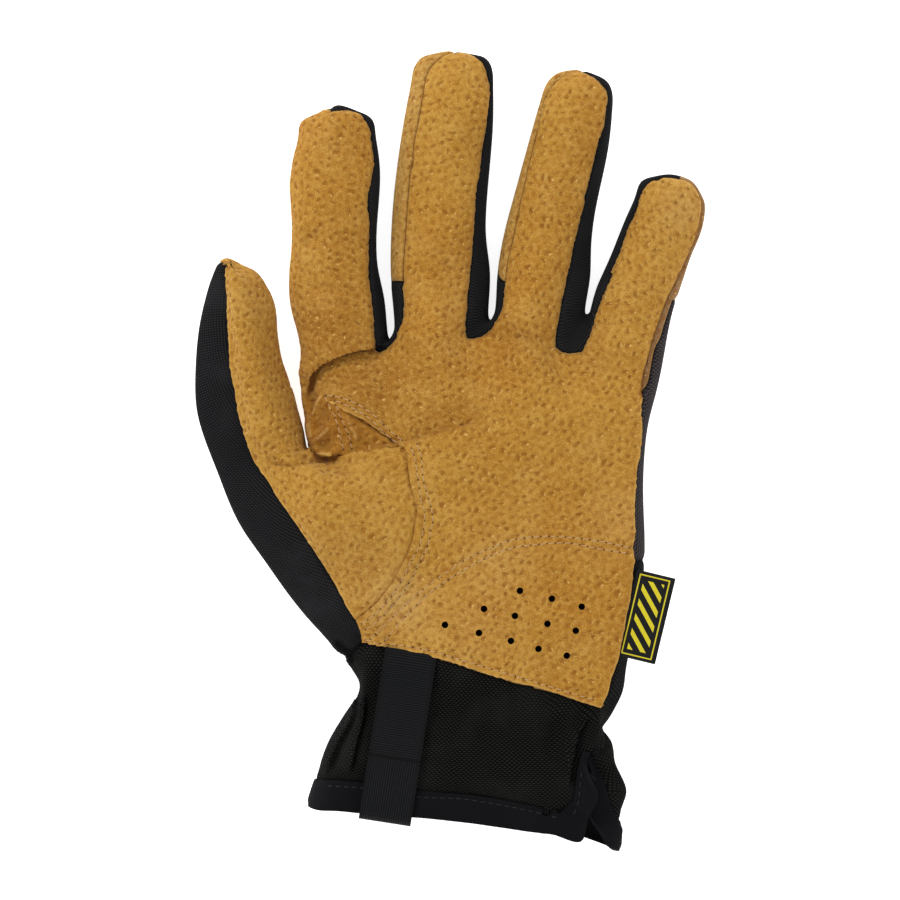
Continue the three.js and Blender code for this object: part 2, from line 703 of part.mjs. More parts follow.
const panelLooks = {
  palm_panel: { wall: leatherWall, proud: 0, colour: 0xc48f3e, roughness: 0.95 },
  thumb_panel: { wall: leatherWall, proud: 0, colour: 0xc28c3c, roughness: 0.95 },
  thumb_gusset: { wall: leatherWall, proud: 0, colour: 0xbf8a3a, roughness: 0.95 },
  middle_side_strip: { wall: stretchWall, proud: 0, colour: 0xa87c3c, roughness: 0.95 },
  ring_side_strip: { wall: stretchWall, proud: 0, colour: 0xb08038, roughness: 0.95 },
  pinky_side_strip: { wall: stretchWall, proud: 0, colour: 0x967350, roughness: 0.95 },
  fourchette_index_middle: { wall: stretchWall, proud: 0, colour: 0x1c1c1e, roughness: 0.9 },
  fourchette_middle_ring: { wall: stretchWall, proud: 0, colour: 0x1c1c1e, roughness: 0.9 },
  fourchette_ring_pinky: { wall: stretchWall, proud: 0, colour: 0x1c1c1e, roughness: 0.9 },
  hand_back: { wall: stretchWall, proud: 0, colour: 0x3a3534, roughness: 0.9 },
  thumb_back: { wall: stretchWall, proud: 0, colour: 0x232324, roughness: 0.9 },
  cuff: { wall: cuffWall, proud: 0, colour: 0x191918, roughness: 0.95 },
  cuff_binding: { wall: cuffWall, proud: bindingProud, colour: 0x19191a, roughness: 0.8 },
};

// Two rim edges whose inward directions are this close or this far apart share one shift
const nearlyOneWay = 0.95;
const nearlyOpposite = -0.6;

// Where a panel meets another it stops half a seam gap short; an open edge stays
function insetVector(vertex, panelEdges) {
  const normal = skinNormals[vertex];
  const inward = panelEdges.map((edge) => {
    const along = skin.points[edge.to].clone().sub(skin.points[edge.from]);
    return normal.clone().cross(along).normalize();
  });
  const steps = panelEdges.map((edge) => (edge.open ? 0 : seamGap / 2));
  const [a, b] = inward;
  const dot = a.dot(b);
  if (dot > nearlyOneWay || dot < nearlyOpposite) {
    return a.clone().add(b).normalize().multiplyScalar(Math.max(...steps));
  }
  const scale = 1 / (1 - dot * dot);
  return a.clone().multiplyScalar((steps[0] - dot * steps[1]) * scale)
    .addScaledVector(b, (steps[1] - dot * steps[0]) * scale);
}

const skinEdges = edgeTable(skin);

function panelRim(faceIds) {
  const members = new Set(faceIds);
  const rim = [];
  for (const faceIndex of faceIds) {
    const face = skin.faces[faceIndex];
    face.forEach((from, i) => {
      const to = face[(i + 1) % face.length];
      const key = from < to ? `${from} ${to}` : `${to} ${from}`;
      const neighbours = skinEdges.get(key).faces;
      if (neighbours.every((f) => members.has(f)) && neighbours.length === 2) return;
      rim.push({ from, to, open: neighbours.length === 1 });
    });
  }
  return rim;
}

function panelGeometry(name) {
  const look = panelLooks[name];
  const faceIds = skin.faces.map((_, i) => i).filter((i) => skin.panels[i] === name);
  const rim = panelRim(faceIds);
  const shift = new Map();
  for (const vertex of new Set(rim.map((edge) => edge.from))) {
    const touching = rim.filter((edge) => edge.from === vertex || edge.to === vertex);
    if (touching.length !== 2) throw new Error(`${name}: pinched rim`);
    shift.set(vertex, insetVector(vertex, touching));
  }
  const positions = [];
  const ids = new Map();
  const vertexAt = (vertex, layer) => {
    const key = `${vertex} ${layer}`;
    if (!ids.has(key)) {
      const point = skin.points[vertex].clone();
      if (shift.has(vertex)) point.add(shift.get(vertex));
      const reach = layer === 0 ? look.proud : -look.wall - look.proud;
      point.addScaledVector(skinNormals[vertex], reach);
      if (layer === 0) point.z = Math.max(0, point.z);
      ids.set(key, positions.length / 3);
      positions.push(point.x, point.y, point.z);
    }
    return ids.get(key);
  };
  const triangles = [];
  const addQuad = (a, b, c, d) => triangles.push(a, b, c, a, c, d);
  for (const faceIndex of faceIds) {
    const face = skin.faces[faceIndex];
    addQuad(...face.map((vertex) => vertexAt(vertex, 0)));
    const inner = face.map((vertex) => vertexAt(vertex, 1));
    addQuad(inner[0], inner[3], inner[2], inner[1]);
  }
  for (const { from, to } of rim) {
    addQuad(vertexAt(to, 0), vertexAt(from, 0), vertexAt(from, 1), vertexAt(to, 1));
  }
  const geometry = new THREE.BufferGeometry();
  geometry.setAttribute('position', new THREE.Float32BufferAttribute(positions, 3));
  geometry.setIndex(triangles);
  return geometry;
}

// Vent holes in three rows on the heel of the palm

function toManifold(geometry) {
  const plain = geometry.clone();
  plain.deleteAttribute('normal');
  plain.deleteAttribute('uv');
  const merged = mergeVertices(plain, 1e-4);
  return new wasm.Manifold(new wasm.Mesh({
    numProp: 3,
    vertProperties: new Float32Array(merged.attributes.position.array),
    triVerts: new Uint32Array(merged.index.array),
  }));
}

function fromManifold(solid) {
  const mesh = solid.getMesh();
  const geometry = new THREE.BufferGeometry();
  geometry.setAttribute('position', new THREE.BufferAttribute(mesh.vertProperties, 3));
  geometry.setIndex(new THREE.BufferAttribute(mesh.triVerts, 1));
  return geometry;
}

// Rows of vents: how many, and where each row starts, in pitches from the first vent
const ventRows = table('count start', [
  [3, 1.12],
  [4, 0.14],
  [5, -0.94],
]);
const ventCorner = { x: 0.115, y: -0.385 };
const ventTilt = 14.5;
const ventSides = 10;

function ventPlaces() {
  const turn = radians(ventTilt);
  return ventRows.flatMap((row, rowIndex) => {
    return Array.from({ length: row.count }, (_, i) => {
      const across = (row.start + i) * ventPitch;
      const down = rowIndex * ventRowPitch;
      return {
        x: ventCorner.x * palmWidth + across * Math.cos(turn) - down * Math.sin(turn),
        y: ventCorner.y * palmLength - across * Math.sin(turn) - down * Math.cos(turn),
      };
    });
  });
}

function cutVents(geometry) {
  let solid = toManifold(geometry);
  for (const place of ventPlaces()) {
    const radius = ventDiameter / 2;
    const drill = new THREE.CylinderGeometry(radius, radius, palmDepth, ventSides);
    drill.rotateX(Math.PI / 2);
    drill.translate(place.x, place.y, palmDepth);
    solid = solid.subtract(toManifold(drill));
  }
  return fromManifold(solid);
}

// Height and slope of the skin's top at a place, for what is sewn onto it
const upward = new THREE.Vector3(0, 0, 1);
const topTriangles = [];
skin.faces.forEach((face) => {
  const [a, b, c, d] = face.map((i) => skin.points[i]);
  for (const corners of [[a, b, c], [a, c, d]]) {
    const triangle = new THREE.Triangle(...corners);
    if (triangle.getNormal(new THREE.Vector3()).dot(upward) > 0.1) topTriangles.push(triangle);
  }
});

function topHeight(x, y) {
  let height = 0;
  for (const triangle of topTriangles) {
    const { a, b, c } = triangle;
    const area = (b.x - a.x) * (c.y - a.y) - (c.x - a.x) * (b.y - a.y);
    const v = ((x - a.x) * (c.y - a.y) - (c.x - a.x) * (y - a.y)) / area;
    const w = ((b.x - a.x) * (y - a.y) - (x - a.x) * (b.y - a.y)) / area;
    if (v < 0 || w < 0 || v + w > 1) continue;
    height = Math.max(height, a.z + v * (b.z - a.z) + w * (c.z - a.z));
  }
  return height;
}

// Pull loop: webbing laid down the cuff from under the leather's edge, turned round the
// hem and back up inside it
const loopAcross = { top: -0.236, bottom: -0.2 };
const loopSteps = 14;
const turnSteps = 6;
const returnSteps = 4;
const loopColumns = [-1, -0.5, 0, 0.5, 1];

// Highest or lowest point of the skin close to a place on the cuff
const restReach = 2.2;

function cuffHeight(along, across, pick) {
  const heights = [];
  for (const down of [-1, 0, 1]) {
    for (const out of [-1, 0, 1]) {
      const place = cuffPoint(along + down * restReach / cuffLength,
        across + out * restReach / cuffWidth, 0);
      const height = topHeight(place.x, place.y);
      if (height > 0) heights.push(height);
    }
  }
  return pick(...heights);
}

// Where the skin crosses the given place across: the leather's edge and the hem
function alongAt(chain, across) {
  const t = (across - chain.left) / (chain.right - chain.left);
  return lerp(chain.leftAlong, chain.rightAlong, t) - chain.bow * 4 * t * (1 - t);
}

function loopGeometry() {
  const hemAlong = alongAt(hemRow, loopAcross.bottom) + seamGap / cuffLength;
  const startAlong = (leatherWall + seamGap) / cuffLength;
  const sections = [];
  const down = cuffPoint(1, 0, 0);
  const downwards = new THREE.Vector3(down.x - cuffOrigin.x, down.y - cuffOrigin.y, 0).normalize();
  const lay = (along, inside) => loopColumns.map((column) => {
    const t = along / hemAlong;
    const across = lerp(loopAcross.top, loopAcross.bottom, t) + column * loopWidth / 2 / cuffWidth;
    const seat = Math.min(along, hemAlong - restReach / cuffLength);
    const height = cuffHeight(seat, across, inside ? Math.min : Math.max);
    const near = inside ? -cuffWall - bindingProud - seamGap : bindingProud + seamGap;
    const far = near + (inside ? -loopThickness : loopThickness);
    return [near, far].map((rise) => {
      const place = cuffPoint(along, across, height + rise);
      return new THREE.Vector3(place.x, place.y, place.z);
    });
  });
  for (let i = 0; i <= loopSteps; i += 1) {
    sections.push(lay(lerp(startAlong, hemAlong, i / loopSteps), false));
  }
  const outerEnd = lay(hemAlong, false);
  const innerEnd = lay(hemAlong, true);
  for (let i = 1; i < turnSteps; i += 1) {
    const angle = Math.PI * i / turnSteps;
    sections.push(outerEnd.map((pair, column) => pair.map((from, layer) => {
      const to = innerEnd[column][layer];
      const centre = from.clone().add(to).multiplyScalar(0.5);
      const radius = (from.z - to.z) / 2;
      return centre.addScaledVector(downwards, radius * Math.sin(angle))
        .setZ(centre.z + radius * Math.cos(angle));
    })));
  }
  for (let i = 0; i <= returnSteps; i += 1) {
    sections.push(lay(hemAlong - loopReturn / cuffLength * i / returnSteps, true));
  }
  return stripGeometry(sections);
}

// A closed strip through sections of near and far points
function stripGeometry(sections) {
  const positions = [];
  const count = sections[0].length;
  const id = (section, column, layer) => (section * count + column) * 2 + layer;
  sections.flat(2).forEach((point) => positions.push(point.x, point.y, point.z));
  const triangles = [];
  const quad = (a, b, c, d) => triangles.push(a, b, c, a, c, d);
  const last = count - 1;
  for (let s = 0; s + 1 < sections.length; s += 1) {
    for (let c = 0; c < last; c += 1) {
      quad(id(s, c, 1), id(s + 1, c, 1), id(s + 1, c + 1, 1), id(s, c + 1, 1));
      quad(id(s, c, 0), id(s, c + 1, 0), id(s + 1, c + 1, 0), id(s + 1, c, 0));
    }
    quad(id(s, 0, 0), id(s + 1, 0, 0), id(s + 1, 0, 1), id(s, 0, 1));
    quad(id(s, last, 1), id(s + 1, last, 1), id(s + 1, last, 0), id(s, last, 0));
  }
  const end = sections.length - 1;
  for (let c = 0; c < last; c += 1) {
    quad(id(0, c, 0), id(0, c, 1), id(0, c + 1, 1), id(0, c + 1, 0));
    quad(id(end, c, 1), id(end, c, 0), id(end, c + 1, 0), id(end, c + 1, 1));
  }
  const geometry = new THREE.BufferGeometry();
  geometry.setAttribute('position', new THREE.Float32BufferAttribute(positions, 3));
  geometry.setIndex(triangles);
  return geometry;
}

// Side label: a flat tab sewn in at the edge of the palm, above the wrist
const labelPlace = { x: 0.553, y: -0.478 };
const labelLean = -13.5;
const labelHold = 0.8;
const seatRows = 10;
const seatColumns = 4;

function labelGeometry() {
  const geometry = new THREE.BoxGeometry(labelWidth, labelLength, labelThickness);
  geometry.translate(labelWidth / 2 - labelHold, 0, labelThickness / 2);
  const x = labelPlace.x * palmWidth;
  const y = labelPlace.y * palmLength;
  const lean = radians(labelLean);
  let seat = 0;
  for (let i = 0; i <= seatRows; i += 1) {
    for (let j = 0; j <= seatColumns; j += 1) {
      const along = (i / seatRows - 0.5) * labelLength;
      const across = j / seatColumns * labelWidth - labelHold;
      const px = x + across * Math.cos(lean) - along * Math.sin(lean);
      const py = y + across * Math.sin(lean) + along * Math.cos(lean);
      seat = Math.max(seat, topHeight(px, py));
    }
  }
  geometry.rotateZ(lean);
  geometry.translate(x, y, seat + seamGap);
  return geometry;
}

// The glove

const glove = new THREE.Group();

function addMesh(name, geometry, colour, roughness) {
  const material = new THREE.MeshStandardMaterial({ color: colour, roughness, metalness: 0 });
  const mesh = new THREE.Mesh(geometry, material);
  mesh.name = name;
  glove.add(mesh);
}

for (const [name, look] of Object.entries(panelLooks)) {
  const geometry = panelGeometry(name);
  const finished = name === 'palm_panel' ? cutVents(geometry) : geometry;
  addMesh(name, finished, look.colour, look.roughness);
}
addMesh('pull_loop', loopGeometry(), 0x1e1e22, 0.7);
addMesh('side_label', labelGeometry(), 0x101010, 0.6);

// The origin is the middle of the glove's footprint
const bounds = new THREE.Box3().setFromObject(glove);
const centre = bounds.getCenter(new THREE.Vector3());
for (const mesh of glove.children) mesh.position.set(-centre.x, -centre.y, -bounds.min.z);

export default glove;
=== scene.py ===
import math

import bmesh
import bpy
import numpy as np
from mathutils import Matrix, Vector
from mathutils.bvhtree import BVHTree
from mathutils.kdtree import KDTree


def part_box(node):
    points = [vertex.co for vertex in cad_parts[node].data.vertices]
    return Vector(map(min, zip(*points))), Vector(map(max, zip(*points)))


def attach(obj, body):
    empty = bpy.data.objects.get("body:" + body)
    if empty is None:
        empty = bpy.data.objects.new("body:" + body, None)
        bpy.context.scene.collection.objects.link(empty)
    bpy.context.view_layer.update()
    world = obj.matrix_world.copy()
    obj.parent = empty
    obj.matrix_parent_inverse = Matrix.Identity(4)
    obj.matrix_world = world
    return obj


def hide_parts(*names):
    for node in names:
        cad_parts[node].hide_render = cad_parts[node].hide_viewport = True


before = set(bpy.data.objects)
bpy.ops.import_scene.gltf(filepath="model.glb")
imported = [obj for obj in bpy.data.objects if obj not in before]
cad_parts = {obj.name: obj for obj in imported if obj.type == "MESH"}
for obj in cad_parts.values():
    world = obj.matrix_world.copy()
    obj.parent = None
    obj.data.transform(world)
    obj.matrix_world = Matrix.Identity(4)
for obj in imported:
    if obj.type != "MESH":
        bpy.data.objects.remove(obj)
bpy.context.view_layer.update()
bpy.ops.object.select_all(action="DESELECT")

# The glove's skin
# A mechanic's glove is sewn from flat panels into one hollow hand. The outer faces of the
# panels are copied from the frame, joined along their seams into one skin and rounded.

mm = 0.001
panel_walls = {
    "palm_panel": 1.4, "thumb_panel": 1.4, "thumb_gusset": 1.4,
    "middle_side_strip": 1.2, "ring_side_strip": 1.2, "pinky_side_strip": 1.2,
    "fourchette_index_middle": 1.2, "fourchette_middle_ring": 1.2,
    "fourchette_ring_pinky": 1.2, "hand_back": 1.2, "thumb_back": 1.2,
    "cuff": 1.6, "cuff_binding": 1.6,
}
panel_names = list(panel_walls)


def linked_groups(faces, barred):
    """Groups of faces that hang together without crossing the barred ones."""
    seen, groups = set(barred), []
    for first in faces:
        if first in seen:
            continue
        seen.add(first)
        group, front = [], [first]
        while front:
            face = front.pop()
            group.append(face)
            for edge in face.edges:
                for other in edge.link_faces:
                    if other not in seen:
                        seen.add(other)
                        front.append(other)
        groups.append(group)
    return groups


def merged_copy(node):
    """A node's mesh with its corners joined, so that its faces hang together."""
    mesh = bmesh.new()
    mesh.from_mesh(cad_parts[node].data)
    bmesh.ops.remove_doubles(mesh, verts=mesh.verts, dist=0.001 * mm)
    return mesh


# The vent holes are known by their short edges, on the palm side of the heel
heel_start = -35 * mm
upper_side = 12 * mm
vent_edge = 0.75 * mm


def close_vents(mesh):
    """The vent holes are taken out, and are cut again in the rounded leather."""
    rings = [
        v for v in mesh.verts
        if v.co.z > upper_side and v.co.y < heel_start
        and min(e.calc_length() for e in v.link_edges) < vent_edge
    ]
    bmesh.ops.delete(mesh, geom=rings, context="VERTS")
    filled = bmesh.ops.holes_fill(mesh, edges=[e for e in mesh.edges if e.is_boundary], sides=0)
    bmesh.ops.triangulate(mesh, faces=filled["faces"])


def rim_faces(mesh, low, high):
    """The strip of faces through the wall, known by its edges as long as the wall."""
    rim = {
        f for f in mesh.faces
        if len(f.verts) == 3 and any(low <= e.calc_length() <= high for e in f.edges)
    }
    while True:
        loose = [
            f for f in rim
            if sum(g in rim and g is not f for e in f.edges for g in e.link_faces) < 2
        ]
        if not loose:
            return rim
        rim.difference_update(loose)


def faces_passed(tree, point, direction):
    """How many faces a ray goes through on its way out of the glove."""
    step = direction * 1e-5
    count, start = 0, point + step
    while count < 20:
        hit = tree.ray_cast(start, direction)[0]
        if hit is None:
            break
        count += 1
        start = hit + step
    return count


# The rim's edges are as long as the wall; the binding stands proud of the cuff on both sides
rim_low, rim_high = 0.995, 1.005
binding_proud = 0.3
proud_low, proud_high = 0.8, 2.1
tested_faces = 50


def outer_faces(mesh, node, tree):
    """The outer sheet of a panel's wall, whose rays out pass an even number of walls."""
    wall = panel_walls[node] * mm
    low, high = rim_low * wall, rim_high * wall
    if node == "cuff_binding":
        low = wall + proud_low * binding_proud * mm
        high = wall + proud_high * binding_proud * mm
    sheets = linked_groups(mesh.faces, rim_faces(mesh, low, high))
    inside = []
    for sheet in sheets:
        tested = sheet[::max(1, len(sheet) // tested_faces)]
        odd = [faces_passed(tree, f.calc_center_median(), f.normal) // 2 % 2 for f in tested]
        inside.append(sum(odd) / len(odd))
    return sheets[inside.index(min(inside))]


def glove_skin():
    """The outer faces of all the panels, and the corners on each panel's edge."""
    copies = {name: merged_copy(name) for name in panel_names}
    points, triangles = [], []
    for mesh in copies.values():
        start = len(points)
        points += [v.co.copy() for v in mesh.verts]
        mesh.verts.index_update()
        triangles += [[start + v.index for v in f.verts] for f in mesh.faces]
    tree = BVHTree.FromPolygons(points, triangles)
    vertices, faces, owners, edge_points = [], [], [], []
    for panel, (name, mesh) in enumerate(copies.items()):
        if name == "palm_panel":
            close_vents(mesh)
        mesh.normal_update()
        ids = {}
        sheet = outer_faces(mesh, name, tree)
        kept = set(sheet)
        for face in sheet:
            for v in face.verts:
                if v not in ids:
                    ids[v] = len(vertices)
                    vertices.append(v.co.copy())
                    if any(f not in kept for f in v.link_faces):
                        edge_points.append((ids[v], panel))
            faces.append([ids[v] for v in face.verts])
            owners.append(panel)
    return vertices, faces, owners, edge_points


vertices, faces, owners, edge_points = glove_skin()
seam_reach = 0.8 * mm


def sew(vertices, edge_points):
    """Corners that neighbouring panels share are brought together."""
    trees = {}
    for panel in range(len(panel_names)):
        own = [vertex for vertex, owner in edge_points if owner == panel]
        trees[panel] = KDTree(len(own))
        for vertex in own:
            trees[panel].insert(vertices[vertex], vertex)
        trees[panel].balance()
    pairs = []
    for vertex, owner in edge_points:
        for panel, tree in trees.items():
            place, other, gap = tree.find(vertices[vertex])
            if panel > owner and gap < seam_reach:
                back = trees[owner].find(place)[1]
                if back == vertex:
                    pairs.append((gap, vertex, other))
    owner_of = dict(edge_points)
    group = {vertex: [vertex] for vertex in owner_of}
    for _, a, b in sorted(pairs):
        if group[a] is group[b]:
            continue
        both = group[a] + group[b]
        if len({owner_of[v] for v in both}) < len(both):
            continue
        for v in both:
            group[v] = both
    merged = {}
    for members in group.values():
        middle = sum((vertices[v] for v in members), Vector()) / len(members)
        for v in members:
            merged[v] = (members[0], middle)
    for v, (_, middle) in merged.items():
        vertices[v] = middle
    return {v: first for v, (first, _) in merged.items()}


merged = sew(vertices, edge_points)
mesh = bpy.data.meshes.new("skin")
mesh.from_pydata([v[:] for v in vertices], [], [[merged.get(i, i) for i in f] for f in faces])
for polygon, panel in zip(mesh.polygons, owners):
    polygon.material_index = panel
skin = bpy.data.objects.new("skin", mesh)
bpy.context.scene.collection.objects.link(skin)
for _ in panel_names:
    mesh.materials.append(None)
bpy.context.view_layer.objects.active = skin
skin.select_set(True)
bpy.ops.object.mode_set(mode="EDIT")
bpy.ops.mesh.select_all(action="SELECT")
bpy.ops.mesh.delete_loose()
bpy.ops.mesh.select_all(action="SELECT")
bpy.ops.mesh.tris_convert_to_quads(face_threshold=math.pi, shape_threshold=math.pi, materials=True)
bpy.ops.object.mode_set(mode="OBJECT")

cuff_tilt = 14.6
floor_level = 2 * mm


def mark_seams(mesh):
    """Panels are cut apart at their seams, and the cuff also along the middle of its back."""
    owners_of_edge, owners_of_vertex = {}, {}
    for polygon in mesh.polygons:
        for key in polygon.edge_keys:
            owners_of_edge.setdefault(key, set()).add(polygon.material_index)
        for vertex in polygon.vertices:
            owners_of_vertex.setdefault(vertex, set()).add(polygon.material_index)
    for edge in mesh.edges:
        edge.use_seam = len(owners_of_edge[tuple(sorted(edge.vertices))]) > 1
    turn = math.radians(cuff_tilt)
    across = Vector((math.cos(turn), -math.sin(turn), 0))
    cuff = panel_names.index("cuff")

    def back_middle(neighbour):
        shared = {cuff, panel_names.index(neighbour)}
        low = [v for v, owners in owners_of_vertex.items()
               if shared <= owners and mesh.vertices[v].co.z < floor_level]
        low.sort(key=lambda v: mesh.vertices[v].co.dot(across))
        return low[len(low) // 2]

    ends = [back_middle("hand_back"), back_middle("cuff_binding")]
    bpy.ops.object.mode_set(mode="EDIT")
    bpy.ops.mesh.select_mode(type="VERT")
    bpy.ops.mesh.select_all(action="DESELECT")
    bpy.ops.object.mode_set(mode="OBJECT")
    for vertex in ends:
        mesh.vertices[vertex].select = True
    bpy.ops.object.mode_set(mode="EDIT")
    bpy.ops.mesh.shortest_path_select()
    bpy.ops.mesh.mark_seam()
    bpy.ops.object.mode_set(mode="OBJECT")


mark_seams(mesh)
bpy.ops.object.mode_set(mode="EDIT")
bpy.ops.mesh.select_all(action="SELECT")
bpy.ops.uv.unwrap(method="MINIMUM_STRETCH", iterations=40, margin=0.001)
bpy.ops.object.mode_set(mode="OBJECT")


def lay_flat(mesh):
    """The flat cut of each panel is turned to the glove's own directions, in millimetres."""
    flat = mesh.uv_layers.active.data
    for panel in range(len(panel_names)):
        loops = [i for p in mesh.polygons if p.material_index == panel for i in p.loop_indices]
        uv = np.array([flat[i].uv for i in loops])
        space = np.array([mesh.vertices[mesh.loops[i].vertex_index].co for i in loops]) / mm
        plane = space[:, :2] - space[:, :2].mean(0)
        uv -= uv.mean(0)
        area_flat = area_space = 0
        at = {loop: i for i, loop in enumerate(loops)}
        for p in mesh.polygons:
            if p.material_index != panel:
                continue
            corners = uv[[at[i] for i in p.loop_indices]]
            x, y = corners[:, 0], corners[:, 1]
            area_flat += abs(np.dot(x, np.roll(y, -1)) - np.dot(y, np.roll(x, -1))) / 2
            area_space += p.area / mm ** 2
        left, _, right = np.linalg.svd(uv.T @ plane)
        turn = left @ right
        if np.linalg.det(turn) < 0:
            turn = left @ np.diag([1, -1]) @ right
        uv = uv @ turn * math.sqrt(area_space / area_flat)
        for loop, point in zip(loops, uv):
            flat[loop].uv = point


lay_flat(mesh)


def rounded(cage, levels):
    """A copy of the cage after Catmull-Clark subdivision. The cage's corners come first."""
    work = bpy.data.objects.new("work", cage.copy())
    bpy.context.scene.collection.objects.link(work)
    step = work.modifiers.new("round", "SUBSURF")
    step.levels = step.render_levels = levels
    step.use_limit_surface = False
    result = bpy.data.meshes.new_from_object(
        work.evaluated_get(bpy.context.evaluated_depsgraph_get()))
    old = work.data
    bpy.data.objects.remove(work)
    bpy.data.meshes.remove(old)
    return result


def positions(mesh):
    flat = np.empty(len(mesh.vertices) * 3, np.float32)
    mesh.vertices.foreach_get("co", flat)
    return flat.reshape(-1, 3).astype(float)


# Rounding shrinks the cage, so its corners are pushed out until they come back to the panels
fit_rounds = 8
fit_share = 0.75
skin_levels = 3
targets = positions(mesh)
for _ in range(fit_rounds):
    smooth = rounded(mesh, 2)
    moved = positions(mesh) + fit_share * (targets - positions(smooth)[:len(targets)])
    mesh.vertices.foreach_set("co", moved.astype(np.float32).ravel())
    bpy.data.meshes.remove(smooth)
fine = rounded(mesh, skin_levels)


# The leather's and the cloth's own shape
# Worn leather buckles where the hand bends and puckers along its stitches. Each fold and
# each row of stitches is a line seen from above, in the frame's own millimetres.

px = 0.31
plane_height = 11
camera_distance = 1550


def line(*places):
    """Places on the palm side, from the middle of the picture's plane, in millimetres."""
    return np.array([((x - 450) * px, (450 - y) * px) for x, y in places])


def seen(place):
    """Where places show in the picture's plane: higher ones are a little nearer."""
    return place[:, :2] / (1 - (place[:, 2:3] - plane_height) / camera_distance)


def along_line(flat, path):
    """Distance to a line, signed distance (left is positive) and the share along it."""
    steps = np.linalg.norm(np.diff(path, axis=0), axis=1)
    run = np.concatenate([[0], np.cumsum(steps)])
    best = np.full(len(flat), 1e9)
    side = np.zeros(len(flat))
    share = np.zeros(len(flat))
    for start, end, before, step in zip(path[:-1], path[1:], run[:-1], steps):
        direction = (end - start) / step
        offset = flat - start
        t = np.clip(offset @ direction, 0, step)
        away = np.linalg.norm(offset - t[:, None] * direction, axis=1)
        cross = direction[0] * offset[:, 1] - direction[1] * offset[:, 0]
        closer = away < best
        best = np.where(closer, away, best)
        side = np.where(closer, np.sign(cross), side)
        share = np.where(closer, (before + t) / run[-1], share)
    return best, best * side, share


def curved(path, spacing=1.0):
    """The same line through more points, on a Catmull-Rom curve."""
    ends = np.vstack([2 * path[0] - path[1], path, 2 * path[-1] - path[-2]])
    rows = []
    for a, b, c, d in zip(ends[:-3], ends[1:-2], ends[2:-1], ends[3:]):
        count = max(1, int(np.linalg.norm(c - b) / spacing))
        t = np.arange(count)[:, None] / count
        rows.append(0.5 * (2 * b + (c - a) * t + (2 * a - 5 * b + 4 * c - d) * t ** 2
                           + (3 * b - 3 * c + d - a) * t ** 3))
    return np.vstack(rows + [path[-1:]])


# Rows of stitches on the palm side
stitch_lines = {
    "thumb_inner": line((411, 447), (415, 460), (418, 478), (420.8, 500), (424.4, 511),
                        (424.4, 522.4), (422.3, 534.7), (418.8, 547), (410.6, 562),
                        (403.5, 576.5), (391, 597), (384, 604), (375, 614.3), (360.5, 624.5)),
    "thumb_outer": line((416.5, 443), (421, 455), (423.4, 481), (429, 500), (433, 519.4),
                        (430.5, 531.6), (428, 545), (418.8, 564), (411.6, 578.6),
                        (402.4, 593), (392, 606), (381, 618.4), (364.5, 630.4)),
    "heel_upper": line((630, 548), (608.6, 543), (585, 539), (558.6, 536.6), (537, 536.6),
                       (512, 540), (490.7, 548), (469, 558), (450, 570.4), (433, 581.6),
                       (414.7, 597), (397.3, 612.8), (381, 629), (369.5, 640)),
    "heel_lower": line((628, 553.6), (594, 548), (567.5, 543), (537, 544.6), (512, 548),
                       (490.7, 556), (469, 567), (450, 578.6), (431, 591.8), (415.7, 606),
                       (404, 618.4), (395.8, 627.6), (384, 642)),
    "heel_edge": line((364.5, 639), (377, 643), (392, 645), (409, 646.5), (438, 653),
                      (461, 660), (484, 667), (518, 677), (541, 684), (564, 691),
                      (594, 700)),
    "gusset_outer": line((325, 395), (338, 397), (353, 402), (366, 409), (378, 419),
                         (389, 430), (403, 441)),
    "gusset_inner": line((334, 400), (348, 406), (362, 413), (374.6, 423), (387, 435),
                         (398, 444)),
    "gusset_left": line((324, 395), (328, 403), (334, 415), (338, 426), (340.6, 437),
                        (343.5, 450.5)),
    "binding_row": line((318, 785), (338, 786.5), (362.5, 788), (390, 792), (419, 797),
                        (460.7, 799), (495, 804), (529.6, 811), (558, 818)),
    "front_band_row": line((584, 762), (581.5, 772), (580, 786), (578, 802), (573, 816)),
    "gusset_right": line((335.6, 404), (340, 416.5), (345, 427), (349.7, 438), (352, 450)),
}

